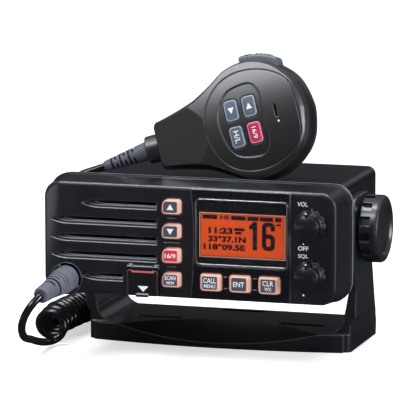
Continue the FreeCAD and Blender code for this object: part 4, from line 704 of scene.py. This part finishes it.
# ---------------------------------------------------------------- control knobs' pointers
CONTROL_X, CONTROLS = 66.4, (("volume", 77.7), ("squelch", 51.0))
POINTER_RINGS = ((-75.8, 1.15, 5.2, 8.6), (-80.0, 1.05, 5.2, 8.75), (-83.2, 0.9, 5.4, 8.7), (-83.8, 0.6, 5.6, 8.3))
for name, z in CONTROLS:
    made = bmesh.new()
    rows = [[made.verts.new((CONTROL_X + a, y, z + b)) for a, b in ((-half, low), (half, low), (half * 0.8, high),
                                                                    (-half * 0.8, high))]
            for y, half, low, high in POINTER_RINGS]
    skin(made, rows)
    bmesh.ops.bevel(made, geom=made.edges[:], offset=0.18, segments=2, affect="EDGES")
    piece("pointer_" + name, made, knob_black, name + "_control", smooth=True)
    made = bmesh.new()
    disc(made, CONTROL_X, z + 7.75, 0.42, -83.92, -83.6)
    piece("pointer_dot_" + name, made, white_print, name + "_control")

# ---------------------------------------------------------------- hinged cover
COVER_Y = -74.6
made = bmesh.new()
bar(made, -30.8, -18.3, 48.3, 49.3, COVER_Y - 0.07, COVER_Y + 0.1, 0.2)
piece("cover_bar", made, cover_red, "cover")
made = bmesh.new()
arrow(made, -24.3, 39.7, 2.9, 1.5, 1.5, -1, COVER_Y - 0.08, COVER_Y + 0.1)
piece("cover_arrow", made, white_print, "cover")
made = bmesh.new()
for x in (-32.6, -17.0):
    bar(made, x - 0.22, x + 0.22, 37.5, 48.8, COVER_Y - 0.05, COVER_Y + 0.1, 0.1)
piece("cover_sides", made, cover_dim, "cover")

# ---------------------------------------------------------------- microphone
# U runs along the microphone from its cord, W across it and OUT through it from front to back.
U, OUT, W = Vector((0.9563, 0.0608, 0.2860)), Vector((0.0, 0.9781, -0.2079)), Vector((-0.2924, 0.1988, 0.9354))
MIC = Matrix(((U.x, OUT.x, W.x, 0.0225), (U.y, OUT.y, W.y, -0.026), (U.z, OUT.z, W.z, 0.12345), (0, 0, 0, 1)))
CROWN_RADIUS, CROWN_FRONT, CROWN_CUT = 95.0, 13.5, 1.5
MIC_KEYS = [("mic_down", -7.8, 7.2, "mic_down_button"), ("mic_up", 2.2, 7.2, "mic_up_button"),
            ("mic_power", -7.8, -7.2, "mic_power_button"), ("mic_channel", 2.2, -7.2, "mic_channel_button")]


def crowned(made, lift):
    """Lays something drawn flat at y = 0 on the microphone's crowned front, that far proud of it."""
    low = min(v.co.z for v in made.verts)
    high = max(v.co.z for v in made.verts)
    z = low + CROWN_CUT
    while z < high:
        bmesh.ops.bisect_plane(made, geom=made.verts[:] + made.edges[:] + made.faces[:], plane_co=(0, 0, z),
                               plane_no=(0, 0, 1))
        z += CROWN_CUT
    for v in made.verts:
        v.co.y += CROWN_RADIUS - math.sqrt(CROWN_RADIUS ** 2 - v.co.z * v.co.z) - CROWN_FRONT - lift


def turned_letters(made, text, width, height, u, v):
    """Letters that read along -v, as on the microphone's lower keys, centred on u, v."""
    letters(made, text, width, height, 0.0, 0.0, 0.0, 0.2)
    for vert in made.verts:
        vert.co = (vert.co.z + u, vert.co.y, v - vert.co.x)


for name, u, v, body in MIC_KEYS:
    made = bmesh.new()
    prism(made, round_rect(u, v, 5.7, 9.6, 1.3), 0.0, 0.4, 0.1)
    crowned(made, 0.14)
    piece("plate_" + name, made, mic_face_red if name == "mic_channel" else mic_face, body, MIC)
    made = bmesh.new()
    if name in ("mic_down", "mic_up"):
        arrow(made, u, v, 1.7, 1.5, 1.7, 1 if name == "mic_up" else -1, 0.0, 0.2)
    elif name == "mic_power":
        turned_letters(made, "H/L", 6.6, 2.9, u, v)
    else:
        turned_letters(made, "16/9", 6.2, 2.3, u, v)
    crowned(made, 0.24)
    piece("legend_" + name, made, white_print, body, MIC)

# A white dot by the sound slot: a painted highlight in white print.
made = bmesh.new()
disc(made, 16.2, -4.5, 0.55, 0.0, 0.3, 0.1)
crowned(made, 0.1)
piece("mic_painted_glint", made, white_print, "microphone", MIC)

# ---------------------------------------------------------------- ribs on the talk button
RIB_START, RIB_PITCH, RIB_COUNT, RIB_HALF = 4.4, 2.05, 7, 4.6
talk = NODES["talk_button"]
into = talk.matrix_world.inverted() @ MIC
made = bmesh.new()
for i in range(RIB_COUNT):
    u = RIB_START + RIB_PITCH * i
    found, spot, *_ = talk.ray_cast(into @ (Vector((u, 0, 60)) * MM), into.to_3x3() @ Vector((0, 0, -1)))
    if found:
        top = (into.inverted() @ spot) / MM
        bar(made, u - 0.45, u + 0.45, top.z - 0.5, top.z + 0.4, -RIB_HALF, RIB_HALF, 0.3, 0.3)
piece("talk_ribs", made, talk_grey, "talk", MIC)


# ---------------------------------------------------------------- strain reliefs
RELIEF_SIDES, RING_GAP = 120, 0.2
SHADE_FROM = 1.5


def cut_at(s, angle, radius, slots):
    """How deep the slots cut at that place along the relief and that angle, easing in at their edges."""
    cut = 0.0
    for middle, width, depth, start, end in slots:
        along = (width / 2 + 0.1 - abs(s - middle)) / 0.2
        centre, half = (start + end) / 2, (end - start) / 2
        off = abs((angle - centre + 180) % 360 - 180)
        around = ((half - off) * math.pi / 180 * radius + 0.15) / 0.3
        if along > 0 and around > 0:
            cut = max(cut, depth * min(1.0, along) * min(1.0, around))
    return cut


def strain_relief(name, base, axis, facing, profile, slots, node_name, body):
    """A moulded strain relief: a turned shape with slots, their deep faces in painted shade. A slot is its middle,
    width, depth and two angles.
    """
    up = axis.cross(facing).normalized()
    facing = up.cross(axis).normalized()
    if up.z < 0:
        up = -up
    places = []
    for (s0, r0), (s1, r1) in zip(profile, profile[1:]):
        count = max(1, round(abs(s1 - s0) / RING_GAP))
        places += [(s0 + (s1 - s0) * i / count, r0 + (r1 - r0) * i / count) for i in range(count)]
    places.append(profile[-1])
    made = bmesh.new()
    deep = made.verts.layers.float.new("deep")
    rings = []
    for s, r in places:
        rings.append([])
        for k in range(RELIEF_SIDES):
            angle = 360.0 * k / RELIEF_SIDES
            cut = cut_at(s, angle, r, slots)
            a = math.radians(angle)
            spot = base + axis * s + (facing * math.cos(a) + up * math.sin(a)) * max(r - cut, 0.3)
            rings[-1].append(made.verts.new(spot))
            rings[-1][-1][deep] = cut
    skin(made, rings)
    # Faces deep in the slots take the dark material: painted shade in the recesses.
    for face in made.faces:
        face.material_index = 1 if sum(v[deep] for v in face.verts) > SHADE_FROM else 0
    obj = piece(name, made, boot_grey, body, smooth=True)
    obj.data.materials.append(boot_slot_shade)
    obj.data.set_sharp_from_angle(angle=math.radians(40))
    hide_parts(node_name)


grooves = [(s, 0.45, 0.35, -180, 180) for s in (2.6, 4.6, 6.6)]
grooves += [(8.8, 0.6, 0.7, -80, 95), (11.2, 0.6, 0.7, -75, 95), (13.6, 0.8, 0.9, 15, 95), (16.2, 1.0, 1.2, -95, 90),
            (19.2, 1.1, 1.2, 0, 90), (16.2, 1.0, 1.2, 120, 240), (19.2, 1.1, 1.2, 180, 300)]
strain_relief("panel_boot", Vector((-67.3, -72.4, 42.9)), Vector((-5.2, -27.6, -4.9)).normalized(),
              Vector((0.792, -0.249, 0.557)),
              [(-0.9, 6.9), (5.1, 6.9), (20.0, 4.85), (27.6, 4.4), (28.2, 4.1), (28.4, 3.7), (28.35, 3.3), (27.7, 3.1),
               (27.7, 2.3)], grooves, "panel_cord_boot", "radio")
slots = []
for i, s in enumerate((21.0, 18.4, 15.8, 13.2, 10.6, 8.1)):
    for start, end in ((30, 150), (189, 350)) if i % 2 else ((-82, 82), (98, 262)):
        slots.append((s, 0.9, 1.1, start, end))
strain_relief("mic_boot", MIC @ (Vector((-60, 0, 0)) * MM) / MM,
              (MIC.to_3x3() @ Vector((-1, 0, -0.085))).normalized(), Vector((0.25, -0.95, 0.1)),
              [(-1.5, 5.1), (0.0, 5.2), (24.6, 2.95), (25.6, 2.75), (26.0, 2.4), (26.0, 2.1)], slots,
              "mic_cord_boot", "microphone")


# ---------------------------------------------------------------- floor, surroundings and lights
WHITE, DIM = (1.0, 1.0, 1.0), (0.03, 0.03, 0.034)


def floor_material():
    """White to look at, but dark where it is mirrored, with bright cards behind and beside the part."""
    mat, tree, shader = tree_of("floor_white")
    shader.inputs["Roughness"].default_value = 0.9
    shader.inputs["Specular IOR Level"].default_value = 0.0
    rays = node(tree, "ShaderNodeLightPath")
    at = split(tree, node(tree, "ShaderNodeTexCoord").outputs["Object"])
    side = node(tree, "ShaderNodeMath", operation="ABSOLUTE")
    tree.links.new(at["X"], side.inputs[0])
    behind = maths(tree, "MULTIPLY", ramped(tree, at["Y"], 0.27, 0.36, 0.0, 0.75),
                   maths(tree, "MULTIPLY", ramped(tree, at["X"], -0.46, -0.38), ramped(tree, at["X"], 0.12, 0.04)))
    beside = maths(tree, "MULTIPLY", ramped(tree, side.outputs[0], 0.36, 0.46, 0.0, 0.9),
                   ramped(tree, at["Y"], 0.0, -0.08))
    cards = mixed(tree, maths(tree, "MAXIMUM", behind, beside), DIM, (0.90, 0.93, 1.0))
    tree.links.new(mixed(tree, rays.outputs["Is Glossy Ray"], (0.9, 0.9, 0.9), cards), shader.inputs["Base Color"])
    glow = maths(tree, "MULTIPLY", rays.outputs["Is Camera Ray"], 0.55)
    shader.inputs["Emission Color"].default_value = rgba(WHITE)
    tree.links.new(glow, shader.inputs["Emission Strength"])
    return mat


def make_floor():
    mesh = bpy.data.meshes.new("floor")
    mesh.from_pydata([(-6, -6, 0), (6, -6, 0), (6, 6, 0), (-6, 6, 0)], [], [(0, 1, 2, 3)])
    mesh.materials.append(floor_material())
    obj = bpy.data.objects.new("floor", mesh)
    obj.location = (0, 0, -0.0002)
    scene.collection.objects.link(obj)


def make_world():
    """White behind the part, plain grey as light, and a sky that is dim low down where it is mirrored."""
    world = bpy.data.worlds.new("world")
    scene.world = world
    world.use_nodes = True
    tree = world.node_tree
    ground = next(n for n in tree.nodes if n.type == "BACKGROUND")
    rays = node(tree, "ShaderNodeLightPath")
    place = node(tree, "ShaderNodeTexCoord")
    greys = [(at, (value, value, value * 1.06)) for at, value in ((0.42, 0.06), (0.64, 0.24), (0.90, 0.36))]
    sky = banded(tree, split(tree, place.outputs["Generated"])["Z"],
                 [(0.0, DIM), (0.22, (0.035, 0.036, 0.042))] + greys)
    away = node(tree, "ShaderNodeVectorMath", operation="DOT_PRODUCT")
    away.inputs[1].default_value = (0.151, 0.951, 0.270)
    tree.links.new(place.outputs["Generated"], away.inputs[0])
    backdrop = mixed(tree, ramped(tree, away.outputs["Value"], 0.980, 0.996), sky, (0.34, 0.355, 0.38))
    plain = mixed(tree, rays.outputs["Is Glossy Ray"], (0.36, 0.36, 0.38), backdrop)
    seen = maths(tree, "MAXIMUM", rays.outputs["Is Camera Ray"], rays.outputs["Is Transmission Ray"])
    tree.links.new(mixed(tree, seen, plain, WHITE), ground.inputs["Color"])
    ground.inputs["Strength"].default_value = 1.0


def area(name, place, aim, width, height, power):
    data = bpy.data.lights.new(name, "AREA")
    data.shape = "RECTANGLE"
    data.size, data.size_y, data.energy = width, height, power
    obj = bpy.data.objects.new(name, data)
    scene.collection.objects.link(obj)
    data.color = (0.94, 0.955, 1.0)
    obj.location = place
    obj.rotation_mode = "QUATERNION"
    obj.rotation_quaternion = (Vector(aim) - Vector(place)).to_track_quat("-Z", "Y")


make_floor()
make_world()
area("top_light", (0.0, -0.10, 1.15), (0, -0.03, 0.07), 1.0, 0.22, 10.5)
area("front_light", (-0.62, -1.02, 1.38), (0, -0.05, 0.08), 0.7, 0.6, 15.0)
area("right_light", (1.2, -0.42, 0.35), (0.05, -0.05, 0.07), 0.3, 0.8, 10.0)
